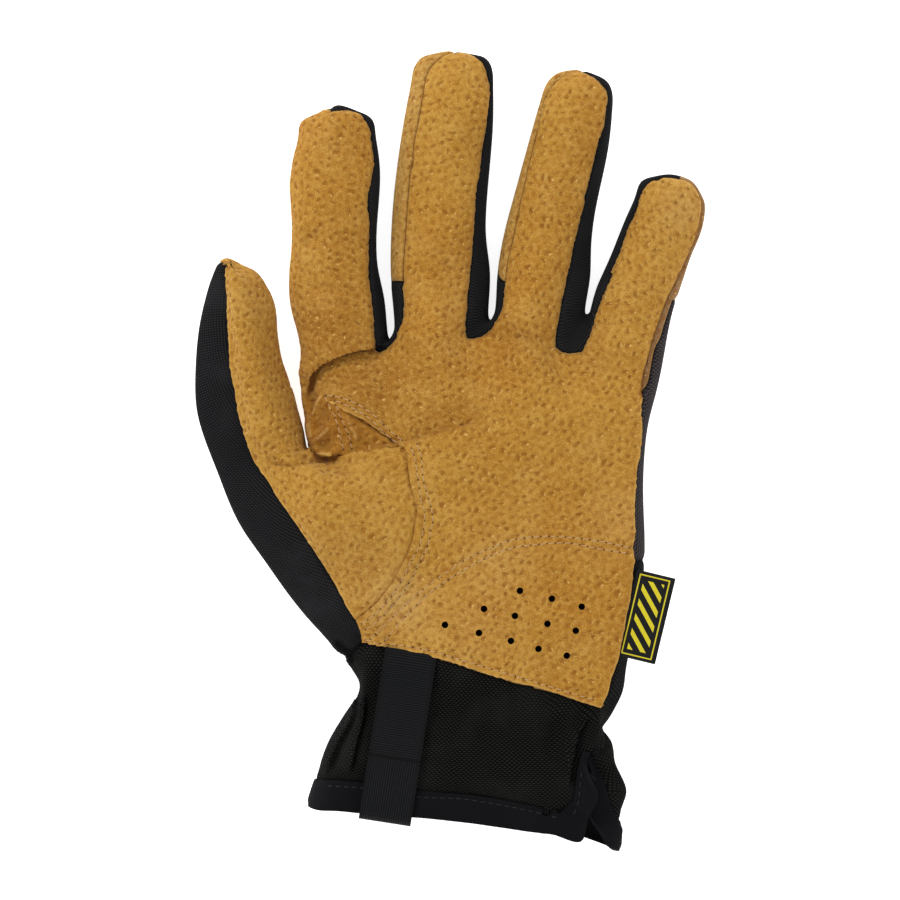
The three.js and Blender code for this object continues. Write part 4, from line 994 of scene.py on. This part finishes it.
def cut_panel(name):
    """One panel of the skin as its own object, with its edges shaped."""
    panel = panel_names.index(name)
    chosen = np.flatnonzero(owner == panel)
    ids, local = np.unique(quads[chosen], return_inverse=True)
    place, outward = point[ids].copy(), normal[ids]
    shift = np.zeros_like(place)
    edge = np.full(len(ids), 99.0)
    dark = painted_shading[ids].copy()
    for other, other_name in enumerate(panel_names + ["hem"]):
        if (name, other_name) not in seam_shapes:
            continue
        seam = seam_points(panel, None if other_name == "hem" else other)
        if len(seam) == 0:
            continue
        rise, width, reach = seam_shapes[name, other_name]
        beside = vertex_tree(seam)
        away = np.array([beside.find(spot)[2] for spot in place])
        folded_under = {name, other_name} == {"palm_panel", "thumb_gusset"}
        if folded_under:
            away = away + 3 * np.clip(hidden_seam + 1 - place[:, 0], 0, 3)
        if other_name in cloth_panels or folded_under:
            edge = np.minimum(edge, away)
        # Painted shade along the seam: narrow beside the palm's leather strips, wider where an edge
        # sinks
        if other_name in leather_strips and name == "palm_panel":
            dark += seam_shade * bell(away, fine_seam_shade_width)
        elif other_name != "hem" and rise < 0:
            spread = strip_seam_shade_width if name in leather_strips else seam_shade_width
            dark += seam_shade * bell(away, spread)
        shift += outward * (rise * bell(away, width))[:, None]
        if reach:
            beyond = vertex_tree(np.setdiff1d(np.unique(quads[owner == other]), seam))
            for i in np.flatnonzero(away < lap_reach):
                target = np.array(beyond.find(place[i])[0]) - place[i]
                target -= outward[i] * (target @ outward[i])
                length = np.linalg.norm(target)
                if length > 1e-6:
                    fading = math.exp(-(away[i] / lap_width) ** 2)
                    shift[i] += target / length * reach * fading
    if name in leather_panels:
        rough = hills(place, ragged_size, ragged_seed) * ragged * bell(edge, ragged_width)
        shift[:, :2] += np.stack([rough, np.roll(rough, 1)], axis=1)
    place += shift
    place[:, 2] = np.maximum(place[:, 2], 0)
    mesh = bpy.data.meshes.new(name)
    mesh.from_pydata(place * mm, [], local.reshape(-1, 4))
    uv = mesh.uv_layers.new(name="cut")
    loops = (chosen[:, None] * 4 + np.arange(4)).ravel()
    uv.data.foreach_set("uv", flat_cut[loops].ravel())
    for label, values in (("painted_shading", dark), ("edge", edge), ("tone_and_shade", tone_and_shade[ids])):
        attribute = mesh.attributes.new(label, "FLOAT", "POINT")
        attribute.data.foreach_set("value", values.astype(np.float32))
    piece = bpy.data.objects.new(name + "_sewn", mesh)
    bpy.context.scene.collection.objects.link(piece)
    return piece


def give_wall(piece, thickness):
    """The wall is thickened inwards, and its inner side is kept coarse."""
    piece.vertex_groups.new(name="inner")
    solid = piece.modifiers.new("wall", "SOLIDIFY")
    solid.thickness = thickness * mm
    solid.offset = -1
    solid.shell_vertex_group = "inner"
    apply_modifiers(piece)
    thin = piece.modifiers.new("inner", "DECIMATE")
    thin.ratio = wall_kept
    thin.vertex_group = "inner"
    apply_modifiers(piece)


pieces = {}
for name in panel_names:
    pieces[name] = cut_panel(name)
    give_wall(pieces[name], panel_walls[name])


# Camera, light and floor
# The glove lies on a pale floor and is seen from straight above, in soft even light.

camera = bpy.data.objects.new("camera", bpy.data.cameras.new("camera"))
bpy.context.scene.collection.objects.link(camera)
camera.data.lens = 200
camera.data.sensor_width = 36
camera.location = (0, 0, (camera_distance + plane_height) * mm)
bpy.context.scene.camera = camera


def soft_light(name, place, size, power):
    light = bpy.data.lights.new(name, "AREA")
    light.shape = "DISK"
    light.size = size
    light.energy = power
    lamp = bpy.data.objects.new(name, light)
    lamp.location = place
    lamp.rotation_euler = Vector(place).to_track_quat("Z", "Y").to_euler()
    bpy.context.scene.collection.objects.link(lamp)


soft_light("upper_left_light", (-0.8, 0.9, 0.75), 0.45, 8)
soft_light("upper_right_light", (0.8, 0.5, 0.9), 0.9, 2)
soft_light("lower_light", (0.1, -0.95, 0.9), 1.0, 2)
world = bpy.data.worlds.new("studio")
bpy.context.scene.world = world
world.use_nodes = True
sky = world.node_tree.nodes["Background"]
sky.inputs["Color"].default_value = (1, 1, 1, 1)
sky.inputs["Strength"].default_value = 0.8
bpy.context.scene.view_settings.view_transform = "Standard"

bpy.ops.mesh.primitive_plane_add(size=6, location=(0, 0, -0.0004))
floor = bpy.context.object
floor.name = "floor"
floor_white = bpy.data.materials.new("floor_white")
floor_white.use_nodes = True
for key, value in (("Base Color", (1, 1, 1, 1)), ("Roughness", 0.9),
                   ("Specular IOR Level", 0), ("Emission Color", (1, 1, 1, 1)),
                   ("Emission Strength", 0.8)):
    floor_white.node_tree.nodes["Principled BSDF"].inputs[key].default_value = value
floor.data.materials.append(floor_white)


# Leather
# The palm, the thumb's inner panel and the gusset are split leather with a dense nap,
# pressed all over with small dimples in slanting rows.


class Value:
    """A shader socket that can be used in sums. Each sum adds its Math node."""

    def __init__(self, tree, socket):
        self.tree = tree
        self.socket = socket

    def node(self, kind, settings=None, inputs=None, output=0):
        node = self.tree.nodes.new(kind)
        for key, value in (settings or {}).items():
            setattr(node, key, value)
        for key, value in (inputs or {}).items():
            if isinstance(value, Value):
                self.tree.links.new(value.socket, node.inputs[key])
            else:
                node.inputs[key].default_value = value
        return Value(self.tree, node.outputs[output])

    def sum(self, operation, *others):
        inputs = dict(enumerate((self,) + others))
        return self.node("ShaderNodeMath", {"operation": operation}, inputs)

    def __add__(self, other):
        return self.sum("ADD", other)

    def __sub__(self, other):
        return self.sum("SUBTRACT", other)

    def __mul__(self, other):
        return self.sum("MULTIPLY", other)

    def __truediv__(self, other):
        return self.sum("DIVIDE", other)

    def __pow__(self, other):
        return self.sum("POWER", other)

    def __rsub__(self, other):
        return (self * -1) + other

    def wave(self):
        return self.sum("SINE")

    def size(self):
        return self.sum("ABSOLUTE")

    def part(self, low, high):
        """0 below low, 1 above high and smooth between."""
        return self.node("ShaderNodeMapRange", {"interpolation_type": "SMOOTHSTEP"},
                         {"Value": self, "From Min": low, "From Max": high})

    def noise(self, scale, detail=2.0):
        return self.node("ShaderNodeTexNoise", {},
                         {"Vector": self, "Scale": scale, "Detail": detail}, "Fac")

    def pair(self):
        """The two coordinates of a vector."""
        split = self.node("ShaderNodeSeparateXYZ", {}, {0: self}).socket.node
        return Value(self.tree, split.outputs[0]), Value(self.tree, split.outputs[1])


def mix(factor, first, second):
    """Two colours are mixed by a factor."""
    anchor = next(v for v in (factor, first, second) if isinstance(v, Value))
    colours = [v if isinstance(v, Value) else (*v, 1) for v in (first, second)]
    return anchor.node("ShaderNodeMix", {"data_type": "RGBA"},
                       {0: factor, 6: colours[0], 7: colours[1]}, 2)


def colour(red, green, blue):
    """Linear values for a colour read from 0 to 255."""
    parts = [c / 255 for c in (red, green, blue)]
    return tuple(c / 12.92 if c <= 0.04045 else ((c + 0.055) / 1.055) ** 2.4 for c in parts)


class Finish:
    """One material: its coordinates, and the shader that takes what they drive."""

    def __init__(self, name, roughness, specular, sheen=0.0, tint=(1, 1, 1)):
        self.material = bpy.data.materials.new(name)
        self.material.use_nodes = True
        self.tree = self.material.node_tree
        self.shader = self.tree.nodes["Principled BSDF"]
        self.shader.inputs["Roughness"].default_value = roughness
        self.shader.inputs["Specular IOR Level"].default_value = specular
        self.shader.inputs["Sheen Weight"].default_value = sheen
        self.shader.inputs["Sheen Roughness"].default_value = 0.5
        self.shader.inputs["Sheen Tint"].default_value = (*tint, 1)
        self.start = Value(self.tree, None)
        self.object = self.start.node("ShaderNodeTexCoord", output="Object")
        self.cut = self.start.node("ShaderNodeUVMap", {"uv_map": "cut"})

    def attribute(self, name):
        return self.start.node("ShaderNodeAttribute", {"attribute_name": name}, output="Fac")

    def paint(self, value):
        self.tree.links.new(value.socket, self.shader.inputs["Base Color"])

    def relief(self, height, depth):
        """A height from 0 to 1 is pressed into the surface, to a depth in millimetres."""
        bump = height.node("ShaderNodeBump", {}, {"Height": height, "Distance": depth * mm,
                                                  "Strength": 1.0})
        self.tree.links.new(bump.socket, self.shader.inputs["Normal"])


def dimple_cells(cut, shift=(0, 0)):
    """Distance to the nearest dimple, as in the leather's mesh, and a random cell number."""
    turned = cut.node("ShaderNodeVectorMath", {"operation": "ADD"}, {0: cut, 1: (*shift, 0)})
    x, y = turned.pair()
    cosine, sine = math.cos(dimple_turn), math.sin(dimple_turn)
    u = (x * cosine + y * sine) / dimple_pitch
    v = (y * cosine - x * sine) / dimple_pitch
    x = u + (v * 1.7 + 0.9).wave() * 0.16 + (u * 2.9 + v * 1.3).wave() * 0.13
    y = v * 1.12 + (u * 1.9 + 0.4).wave() * 0.16 + (v * 3.1 - u * 1.1).wave() * 0.12
    row = (y + 0.5).sum("FLOOR")
    x = x + row.sum("MODULO", 2.0).size() * 0.5
    column = (x + 0.5).sum("FLOOR")
    away = ((x - column) ** 2 + (y - row) ** 2).sum("SQRT")
    cell = column.node("ShaderNodeCombineXYZ", {}, {0: column, 1: row})
    chance = cell.node("ShaderNodeTexWhiteNoise", {"noise_dimensions": "2D"}, {"Vector": cell})
    return away, chance


def suede(name, base, dark, light):
    """Split leather: dimples, nap and lint on a stained, patchy base, with painted shade and
    highlights.
    """
    finish = Finish(name, 0.95, specular=0.06, sheen=0.12, tint=(1.0, 0.8, 0.5))
    cut = finish.cut
    ruffle = cut.node("ShaderNodeTexNoise", {}, {"Vector": cut, "Scale": 0.55, "Detail": 2.0},
                      "Color")
    loose = cut.node("ShaderNodeVectorMath", {"operation": "MULTIPLY_ADD"},
                     {0: ruffle, 1: (1.5, 1.5, 0), 2: cut})
    loose = loose.node("ShaderNodeVectorMath", {"operation": "SUBTRACT"},
                       {0: loose, 1: (0.75, 0.75, 0)})
    away, chance = dimple_cells(loose)
    beside, chance_beside = dimple_cells(loose, (-0.6, 0.5))
    # Each dimple is painted darker as shade, and a pale dot beside it on one side is a painted
    # highlight
    pit_shade = (1 - away.part(0.02, 0.46)) ** 1.3 * (chance * 0.8 + 0.3)
    rim_highlight = (1 - beside.part(0.02, 0.17)) * chance_beside.part(0.2, 0.9)
    patches = finish.object.noise(75, 3)
    blotch = finish.object.noise(26, 2)
    nap = finish.object.noise(3200, 3)
    stain = finish.object.noise(170, 3)
    shade_and_highlight = finish.attribute("painted_shading")
    lint = finish.object.noise(650, 5)
    edge = finish.attribute("edge")
    tone_and_shade = finish.attribute("tone_and_shade")
    tone = base
    # Among these mixes are painted shade in the dimples, creases and seams, painted highlights
    # beside the dimples and on ridges, and dark patches that are partly painted shade
    for share, tint in ((blotch.part(0.3, 0.7) * 0.8, dark),
                        ((1 - tone_and_shade.part(-1.0, 0.0)) * 0.58, colour(126, 72, 16)),
                        (tone_and_shade.part(0.0, 1.0) * 0.7, colour(206, 168, 104)),
                        (patches.part(0.42, 0.72) * 0.35, light),
                        (stain.part(0.45, 0.7) * 0.4, dark),
                        (lint.part(0.48, 0.7) * 0.45, light),
                        ((1 - lint.part(0.34, 0.52)) * 0.4, colour(142, 90, 28)),
                        (nap.part(0.48, 0.68) * 0.45, light),
                        ((1 - nap.part(0.34, 0.5)) * 0.45, colour(136, 84, 24)),
                        (pit_shade * 0.6, colour(136, 74, 12)),
                        (rim_highlight * 0.65, colour(230, 190, 108)),
                        (shade_and_highlight.part(0.0, 1.5) * 0.9, colour(88, 48, 14)),
                        ((1 - shade_and_highlight.part(-0.7, -0.05)) * 0.3, colour(222, 182, 112)),
                        ((1 - edge.part(0.1, 0.8)) * 0.3, colour(214, 172, 98))):
        tone = mix(share, tone, tint)
    finish.paint(tone)
    finish.relief(rim_highlight * 0.4 - pit_shade * 0.8 + lint * 0.5 + nap * 0.4, 0.55)
    return finish.material


def finish_piece(piece, material, node=None):
    """The last steps for each piece: its material, smooth faces and place in the frame."""
    piece.data.materials.clear()
    piece.data.materials.append(material)
    bpy.ops.object.select_all(action="DESELECT")
    bpy.context.view_layer.objects.active = piece
    piece.select_set(True)
    bpy.ops.object.shade_smooth_by_angle(angle=math.radians(50))
    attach(piece, "root")
    if node:
        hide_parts(node)


palm_suede = suede("palm_suede", colour(182, 135, 55), colour(167, 114, 39),
                   colour(201, 159, 82))
thumb_suede = suede("thumb_suede", colour(181, 135, 56), colour(165, 116, 41),
                    colour(200, 159, 84))
gusset_suede = suede("gusset_suede", colour(170, 119, 44), colour(154, 102, 34),
                     colour(190, 144, 68))

# Vent holes are punched through the heel of the palm
vent_width = 2.1
vent_height = 26
punch_length = 16
vents = line((520, 591), (552, 599), (582, 607), (484, 609), (515, 616), (547.5, 624),
             (576, 631), (445, 625), (479, 633), (511, 641), (538.5, 649), (567, 656))
bpy.ops.object.select_all(action="DESELECT")
punches = []
for x, y in vents * (1 - (vent_height - plane_height) / camera_distance):
    bpy.ops.mesh.primitive_cylinder_add(vertices=20, radius=vent_width / 2 * mm,
                                        depth=punch_length * mm,
                                        location=(x * mm, y * mm, vent_height * mm))
    punches.append(bpy.context.object)
for punch in punches:
    punch.select_set(True)
bpy.ops.object.join()
punch = bpy.context.object
palm = pieces["palm_panel"]
cut = palm.modifiers.new("vents", "BOOLEAN")
cut.object = punch
cut.solver = "EXACT"
apply_modifiers(palm)
bpy.data.objects.remove(punch)

finish_piece(palm, palm_suede, "palm_panel")
finish_piece(pieces["thumb_panel"], thumb_suede, "thumb_panel")
finish_piece(pieces["thumb_gusset"], gusset_suede, "thumb_gusset")


# Side strips
# Narrow strips of the same leather are let in along the middle, ring and little fingers.
# The one on the little finger is a thinner brown leather.

strip_suede = suede("strip_suede", colour(178, 135, 64), colour(160, 114, 45),
                    colour(203, 166, 98))
brown_suede = suede("brown_suede", colour(140, 104, 68), colour(112, 80, 52),
                    colour(168, 136, 98))
finish_piece(pieces["middle_side_strip"], strip_suede, "middle_side_strip")
finish_piece(pieces["ring_side_strip"], strip_suede, "ring_side_strip")
finish_piece(pieces["pinky_side_strip"], brown_suede, "pinky_side_strip")


# Cloth panels
# Stretch cloth with fine ribs fills the sides of the fingers, a tight weave covers the
# back of the thumb and a coarser one the back of the hand.


def cloth(name, base, light, pitch_along, pitch_across, depth):
    """Staggered rows of knots, along and across the cut, with painted shade in the folds and seams.
    """
    finish = Finish(name, 0.95, specular=0.05)
    across, along = finish.cut.pair()
    rows = (along * (2 * math.pi / pitch_along)).wave()
    stagger = rows.part(-0.1, 0.1) * math.pi
    knots = (across * (2 * math.pi / pitch_across) + stagger).wave()
    height = rows.size() * 0.5 + (knots * 0.5 + 0.5) * 0.5
    tone = mix(height.part(0.35, 0.95) * 0.7, base, light)
    tone = mix(finish.object.noise(70, 3).part(0.45, 0.75) * 0.25, tone, light)
    # Painted shade from the skin's creases, pleats and seams
    tone = mix(finish.attribute("painted_shading").part(0.0, 1.0) * 0.6, tone, (0, 0, 0))
    finish.paint(tone)
    finish.relief(height + finish.object.noise(1800, 2) * 0.3, depth)
    return finish.material


for name in fabric_strips:
    rib = cloth(name + "_rib", colour(18, 18, 19), colour(48, 48, 50), 0.8, 5.0, 0.25)
    finish_piece(pieces[name], rib, name)
finish_piece(pieces["thumb_back"],
             cloth("thumb_weave", colour(13, 13, 14), colour(52, 52, 54), 1.1, 1.1, 0.35),
             "thumb_back")
finish_piece(pieces["hand_back"],
             cloth("back_weave", colour(34, 31, 32), colour(86, 78, 78), 1.2, 2.4, 0.3),
             "hand_back")


# Cuff
# A knitted cuff is gathered at the wrist. A smooth binding is folded over its hem and
# round the slit on the little finger's side, and sewn down near its upper edge.

finish_piece(pieces["cuff"],
             cloth("cuff_knit", colour(4, 4, 4), colour(44, 44, 42), 1.25, 1.45, 0.6),
             "cuff")
finish_piece(pieces["cuff_binding"],
             cloth("binding_weave", colour(13, 13, 15), colour(26, 26, 29), 0.5, 0.5, 0.05),
             "cuff_binding")


# Pull loop
# A length of flat webbing is caught under the palm's lower edge, laid down the cuff,
# folded round the hem and sewn back on itself with a bar of stitches.

loop_width = 16.0
loop_thickness = 1.3
loop_columns = 24
loop_step = 0.6
# Its upper end is tucked under the leather; a short end goes back up inside the hem
tuck_depth = 1.5
tuck_length = 4.5
webbing_lift = 0.15
hem_gap = 0.3
fold_gap = 0.1
fold_steps = 12
end_steps = 14
end_step = 0.8
loop_top = line((411.3, 651))[0]
loop_hem = line((387, 807))[0]


def height_finder(names):
    """Heights of finished pieces under a place, seen from above."""
    points, faces = [], []
    for name in names:
        mesh = pieces[name].data
        start = len(points)
        points += [v.co / mm for v in mesh.vertices]
        faces += [[start + i for i in p.vertices] for p in mesh.polygons]
    tree = BVHTree.FromPolygons(points, faces)

    def height(x, y):
        hit = tree.ray_cast(Vector((x, y, 60)), Vector((0, 0, -1)))[0]
        return None if hit is None else hit.z

    return height


cuff_height = height_finder(["cuff", "cuff_binding"])


def webbing_strip():
    """The webbing's path down the cuff, round the hem and back up inside."""
    down = loop_hem - loop_top
    length = np.linalg.norm(down)
    down /= length
    across = np.array([-down[1], down[0]])
    rows = int(length / loop_step)
    spots = [loop_top + down * length * i / rows for i in range(rows + 1)]
    ridge = []
    for spot in spots:
        found = [cuff_height(*(spot + across * s)) for s in np.linspace(-8, 8, 9)]
        found = [z for z in found if z is not None]
        ridge.append(max(found) if found else ridge[-1])
    ridge = np.array(ridge)
    tall = np.array([ridge[max(0, i - 4):i + 5].max() for i in range(len(ridge))])
    ridge = np.convolve(np.pad(tall, 8, mode="edge"), np.ones(17) / 17, mode="valid")
    path = []
    for i, spot in enumerate(spots):
        tuck = tuck_depth * max(0, 1 - i * loop_step / tuck_length) ** 2
        path.append((*spot, ridge[i] + webbing_lift - tuck))
    drop = panel_walls["cuff"] + 2 * binding_proud + hem_gap
    radius = (drop + loop_thickness) / 2 + fold_gap
    centre = np.array(path[-1]) + (0, 0, loop_thickness / 2 - radius)
    turn = np.array((*down, 0))
    for k in range(1, fold_steps + 1):
        angle = math.pi * k / fold_steps
        path.append(tuple(centre + turn * radius * math.sin(angle)
                          + np.array((0, 0, radius * math.cos(angle) - loop_thickness / 2))))
    last = np.array(path[-1])
    for k in range(1, end_steps + 1):
        path.append(tuple(last - turn * k * end_step))
    return np.array(path), across


def build_webbing():
    path, across = webbing_strip()
    spread = np.linspace(-1, 1, loop_columns + 1) * loop_width / 2
    side = np.array((*across, 0))
    count = len(spread)
    vertices = [tuple((spot + side * s) * mm) for spot in path for s in spread]
    faces = []
    for i in range(len(path) - 1):
        for a in range(i * count, (i + 1) * count - 1):
            faces.append((a, a + count, a + count + 1, a + 1))
    mesh = bpy.data.meshes.new("webbing")
    mesh.from_pydata(vertices, [], faces)
    run = np.concatenate([[0], np.cumsum(np.linalg.norm(np.diff(path, axis=0), axis=1))])
    uv = mesh.uv_layers.new(name="cut")
    for loop in mesh.loops:
        i, j = divmod(loop.vertex_index, count)
        uv.data[loop.index].uv = (spread[j], run[i])
    piece = bpy.data.objects.new("pull_loop_webbing", mesh)
    bpy.context.scene.collection.objects.link(piece)
    if mesh.polygons[0].normal.z < 0:
        mesh.flip_normals()
    solid = piece.modifiers.new("thickness", "SOLIDIFY")
    solid.thickness = loop_thickness * mm
    solid.offset = 1
    apply_modifiers(piece)
    return piece


rib_pitch = 0.72


def webbing_finish():
    """Ribs across the webbing, cords along it below the bar, and the sewn bar itself."""
    finish = Finish("webbing_weave", 0.8, specular=0.12)
    across, along = finish.cut.pair()
    tack = math.hypot(*(line((397, 758))[0] - loop_top))
    below = along.part(tack, tack + 0.3)
    ribs = (along * (2 * math.pi / rib_pitch)).wave() * 0.5 + 0.5
    cords = (across * (2 * math.pi / rib_pitch)).wave() * 0.5 + 0.5
    height = (ribs * (cords * 0.5 + 0.5)) * (1 - below) + (cords * (ribs * 0.5 + 0.5)) * below
    tone = mix(height * 0.9, colour(5, 5, 6), colour(35, 36, 39))
    edge = across.size().part(6.9, 7.1)
    tone = mix(edge * 0.6, tone, colour(14, 14, 16))
    bar = 1 - (along - tack - 0.1).size().part(0.35, 0.5)
    tone = mix(bar * 0.8, tone, colour(6, 6, 7))
    finish.paint(tone)
    finish.relief(height, 0.3)
    return finish.material


finish_piece(build_webbing(), webbing_finish(), "pull_loop")


# Side label
# A small woven tab is folded and caught in the side seam. It carries a plain frame with
# slanting bars.

label_size = (12.4, 27.2, 0.8)
frame_outer = (4.8, 12.6)
frame_inner = (4.4, 12.2)
bar_field = (3.3, 10.9)
bar_pitch = 4.2
bar_share = 0.42
label_middle = line((644.4, 615.8))[0]
label_turn = math.radians(-13.5)


def build_label():
    bpy.ops.mesh.primitive_cube_add(size=1)
    label = bpy.context.object
    label.name = "side_label_tab"
    label.scale = [s * mm for s in label_size]
    bpy.ops.object.transform_apply(scale=True)
    bpy.ops.object.mode_set(mode="EDIT")
    bpy.ops.mesh.select_all(action="SELECT")
    bpy.ops.mesh.subdivide(number_cuts=15)
    bpy.ops.object.mode_set(mode="OBJECT")
    bevel = label.modifiers.new("fold", "BEVEL")
    bevel.width = 0.25 * mm
    bevel.segments = 2
    bevel.limit_method = "ANGLE"
    apply_modifiers(label)
    low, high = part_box("side_label")
    turn = np.array([[math.cos(label_turn), -math.sin(label_turn)],
                     [math.sin(label_turn), math.cos(label_turn)]])
    uv = label.data.uv_layers.new(name="cut")
    for loop in label.data.loops:
        uv.data[loop.index].uv = label.data.vertices[loop.vertex_index].co.xy / mm
    for v in label.data.vertices:
        x, y, z = v.co / mm
        out = x + label_size[0] / 2
        z += 0.06 * out - 0.2 + 0.25 * math.sin((y + 4) / 8) * out / label_size[0]
        x, y = turn @ (x, y)
        v.co = Vector((x + label_middle[0], y + label_middle[1], z)) * mm
        v.co.z += (low.z + high.z) / 2
    return label


def outside(places, limits):
    """1 where a place lies outside a rectangle round the middle, else 0."""
    far_x, far_y = (place.size().sum("GREATER_THAN", limit) for place, limit in zip(places, limits))
    return far_x.sum("MAXIMUM", far_y)


def label_finish():
    finish = Finish("label_weave", 0.7, specular=0.2)
    across, along = finish.cut.pair()
    places = (across, along)
    frame_line = outside(places, frame_inner) - outside(places, frame_outer)
    bars = ((along * 0.9 + across + 0.5) / bar_pitch).sum("FRACT").sum("LESS_THAN", bar_share)
    inside = 1 - outside(places, bar_field)
    thread = (along * (2 * math.pi / 0.35)).wave() * 0.5 + 0.5
    tone = mix((frame_line + bars * inside).sum("MINIMUM", 1.0),
               colour(15, 15, 18), colour(222, 206, 44))
    tone = mix(thread * 0.25, tone, colour(8, 8, 8))
    finish.paint(tone)
    finish.relief(thread, 0.06)
    return finish.material


finish_piece(build_label(), label_finish(), "side_label")


# Stitching
# Tan thread runs in double rows round the thumb, the gusset and the heel. Every stitch
# is a short arched length of thread between two needle holes.

thread_width = 0.36
stitch_length = 1.9
half_stitch = 0.7
stitch_arch = 0.14
steepest = 1.2
hole_width = 0.56
leather_height = height_finder(["palm_panel", "thumb_panel", "thumb_gusset"])


def small_shape(size):
    """The corners of a small ball drawn out to a size, and its faces in a fixed order."""
    bpy.ops.mesh.primitive_uv_sphere_add(segments=8, ring_count=6, radius=0.5)
    shape = bpy.context.object
    places = np.array([v.co[:] for v in shape.data.vertices])
    turned = places[:, [2, 0, 1]] * size
    faces = []
    for p in shape.data.polygons:
        ring = list(p.vertices)
        first = ring.index(min(ring))
        faces.append(ring[first:] + ring[:first])
    bpy.data.objects.remove(shape)
    return turned, sorted(faces)


def on_piece(x, y, height):
    """The place on a piece that shows at a place of the picture's plane."""
    z = height(x, y)
    if z is None:
        return None
    nearer = 1 - (z - plane_height) / camera_distance
    z = height(x * nearer, y * nearer)
    return None if z is None else np.array((x * nearer, y * nearer, z))


def sew_rows(name, rows, material, shape, at_ends, sink, skew=0.0,
             height=leather_height):
    """Copies of a small shape follow the rows, at the needle holes or between them."""
    places, faces = shape
    vertices, polygons = [], []
    for row in rows:
        path = curved(stitch_lines[row], 0.25)
        steps = np.linalg.norm(np.diff(path, axis=0), axis=1)
        run = np.concatenate([[0], np.cumsum(steps)])
        count = int(run[-1] / stitch_pitch)
        for i in range(count + (1 if at_ends else 0)):
            middle = (i + (0 if at_ends else 0.5)) * run[-1] / count
            ends = []
            for step in (-half_stitch, half_stitch):
                x = np.interp(middle + step, run, path[:, 0])
                y = np.interp(middle + step, run, path[:, 1])
                spot = on_piece(x, y, height)
                if spot is not None:
                    ends.append(spot)
            if len(ends) < 2 or np.linalg.norm(ends[1] - ends[0]) < 0.3:
                continue
            forward = ends[1] - ends[0]
            if abs(forward[2]) > steepest:
                continue
            forward /= np.linalg.norm(forward)
            side = np.cross((0, 0, 1), forward)
            side /= np.linalg.norm(side)
            forward = forward + side * skew
            forward /= np.linalg.norm(forward)
            up = np.cross(forward, side)
            centre = (ends[0] + ends[1]) / 2 + up * sink
            start = len(vertices)
            for (x, y, z), dip in zip(places, places[:, 0] ** 2 * -stitch_arch):
                vertices.append((centre + forward * x + side * y + up * (z + dip)) * mm)
            polygons += [[start + k for k in face] for face in faces]
    mesh = bpy.data.meshes.new(name)
    mesh.from_pydata([tuple(v) for v in vertices], [], polygons)
    piece = bpy.data.objects.new(name, mesh)
    bpy.context.scene.collection.objects.link(piece)
    finish_piece(piece, material)


def thread_finish(name, base, light):
    finish = Finish(name, 0.6, specular=0.3)
    fibres = finish.object.noise(5000, 2)
    finish.paint(mix(fibres, base, light))
    finish.relief(fibres, 0.05)
    return finish.material


tan_thread = thread_finish("tan_thread", colour(166, 128, 84), colour(204, 168, 124))
# Dark flat discs at the needle holes are painted shade in the holes
hole_shade = thread_finish("needle_hole_shade", colour(44, 26, 12), colour(66, 42, 20))
stitch = small_shape((stitch_length, thread_width, thread_width))
hole = small_shape((hole_width, hole_width * 0.85, 0.16))
for name, rows in (("thumb_seam", ("thumb_inner", "thumb_outer")),
                   ("heel_seam", ("heel_upper", "heel_lower", "heel_edge")),
                   ("gusset_seam", ("gusset_outer", "gusset_inner", "gusset_left",
                                    "gusset_right"))):
    sew_rows(name + "_thread", rows, tan_thread, stitch, at_ends=False, sink=0.02, skew=0.12)
    sew_rows(name + "_holes", rows, hole_shade, hole, at_ends=True, sink=0.01)

black_thread = thread_finish("black_thread", colour(6, 6, 7), colour(26, 26, 28))
sew_rows("binding_seam_thread", ("binding_row", "front_band_row"), black_thread, stitch,
         at_ends=False, sink=0.03, skew=0.05, height=height_finder(["cuff_binding"]))

bpy.data.objects.remove(skin)
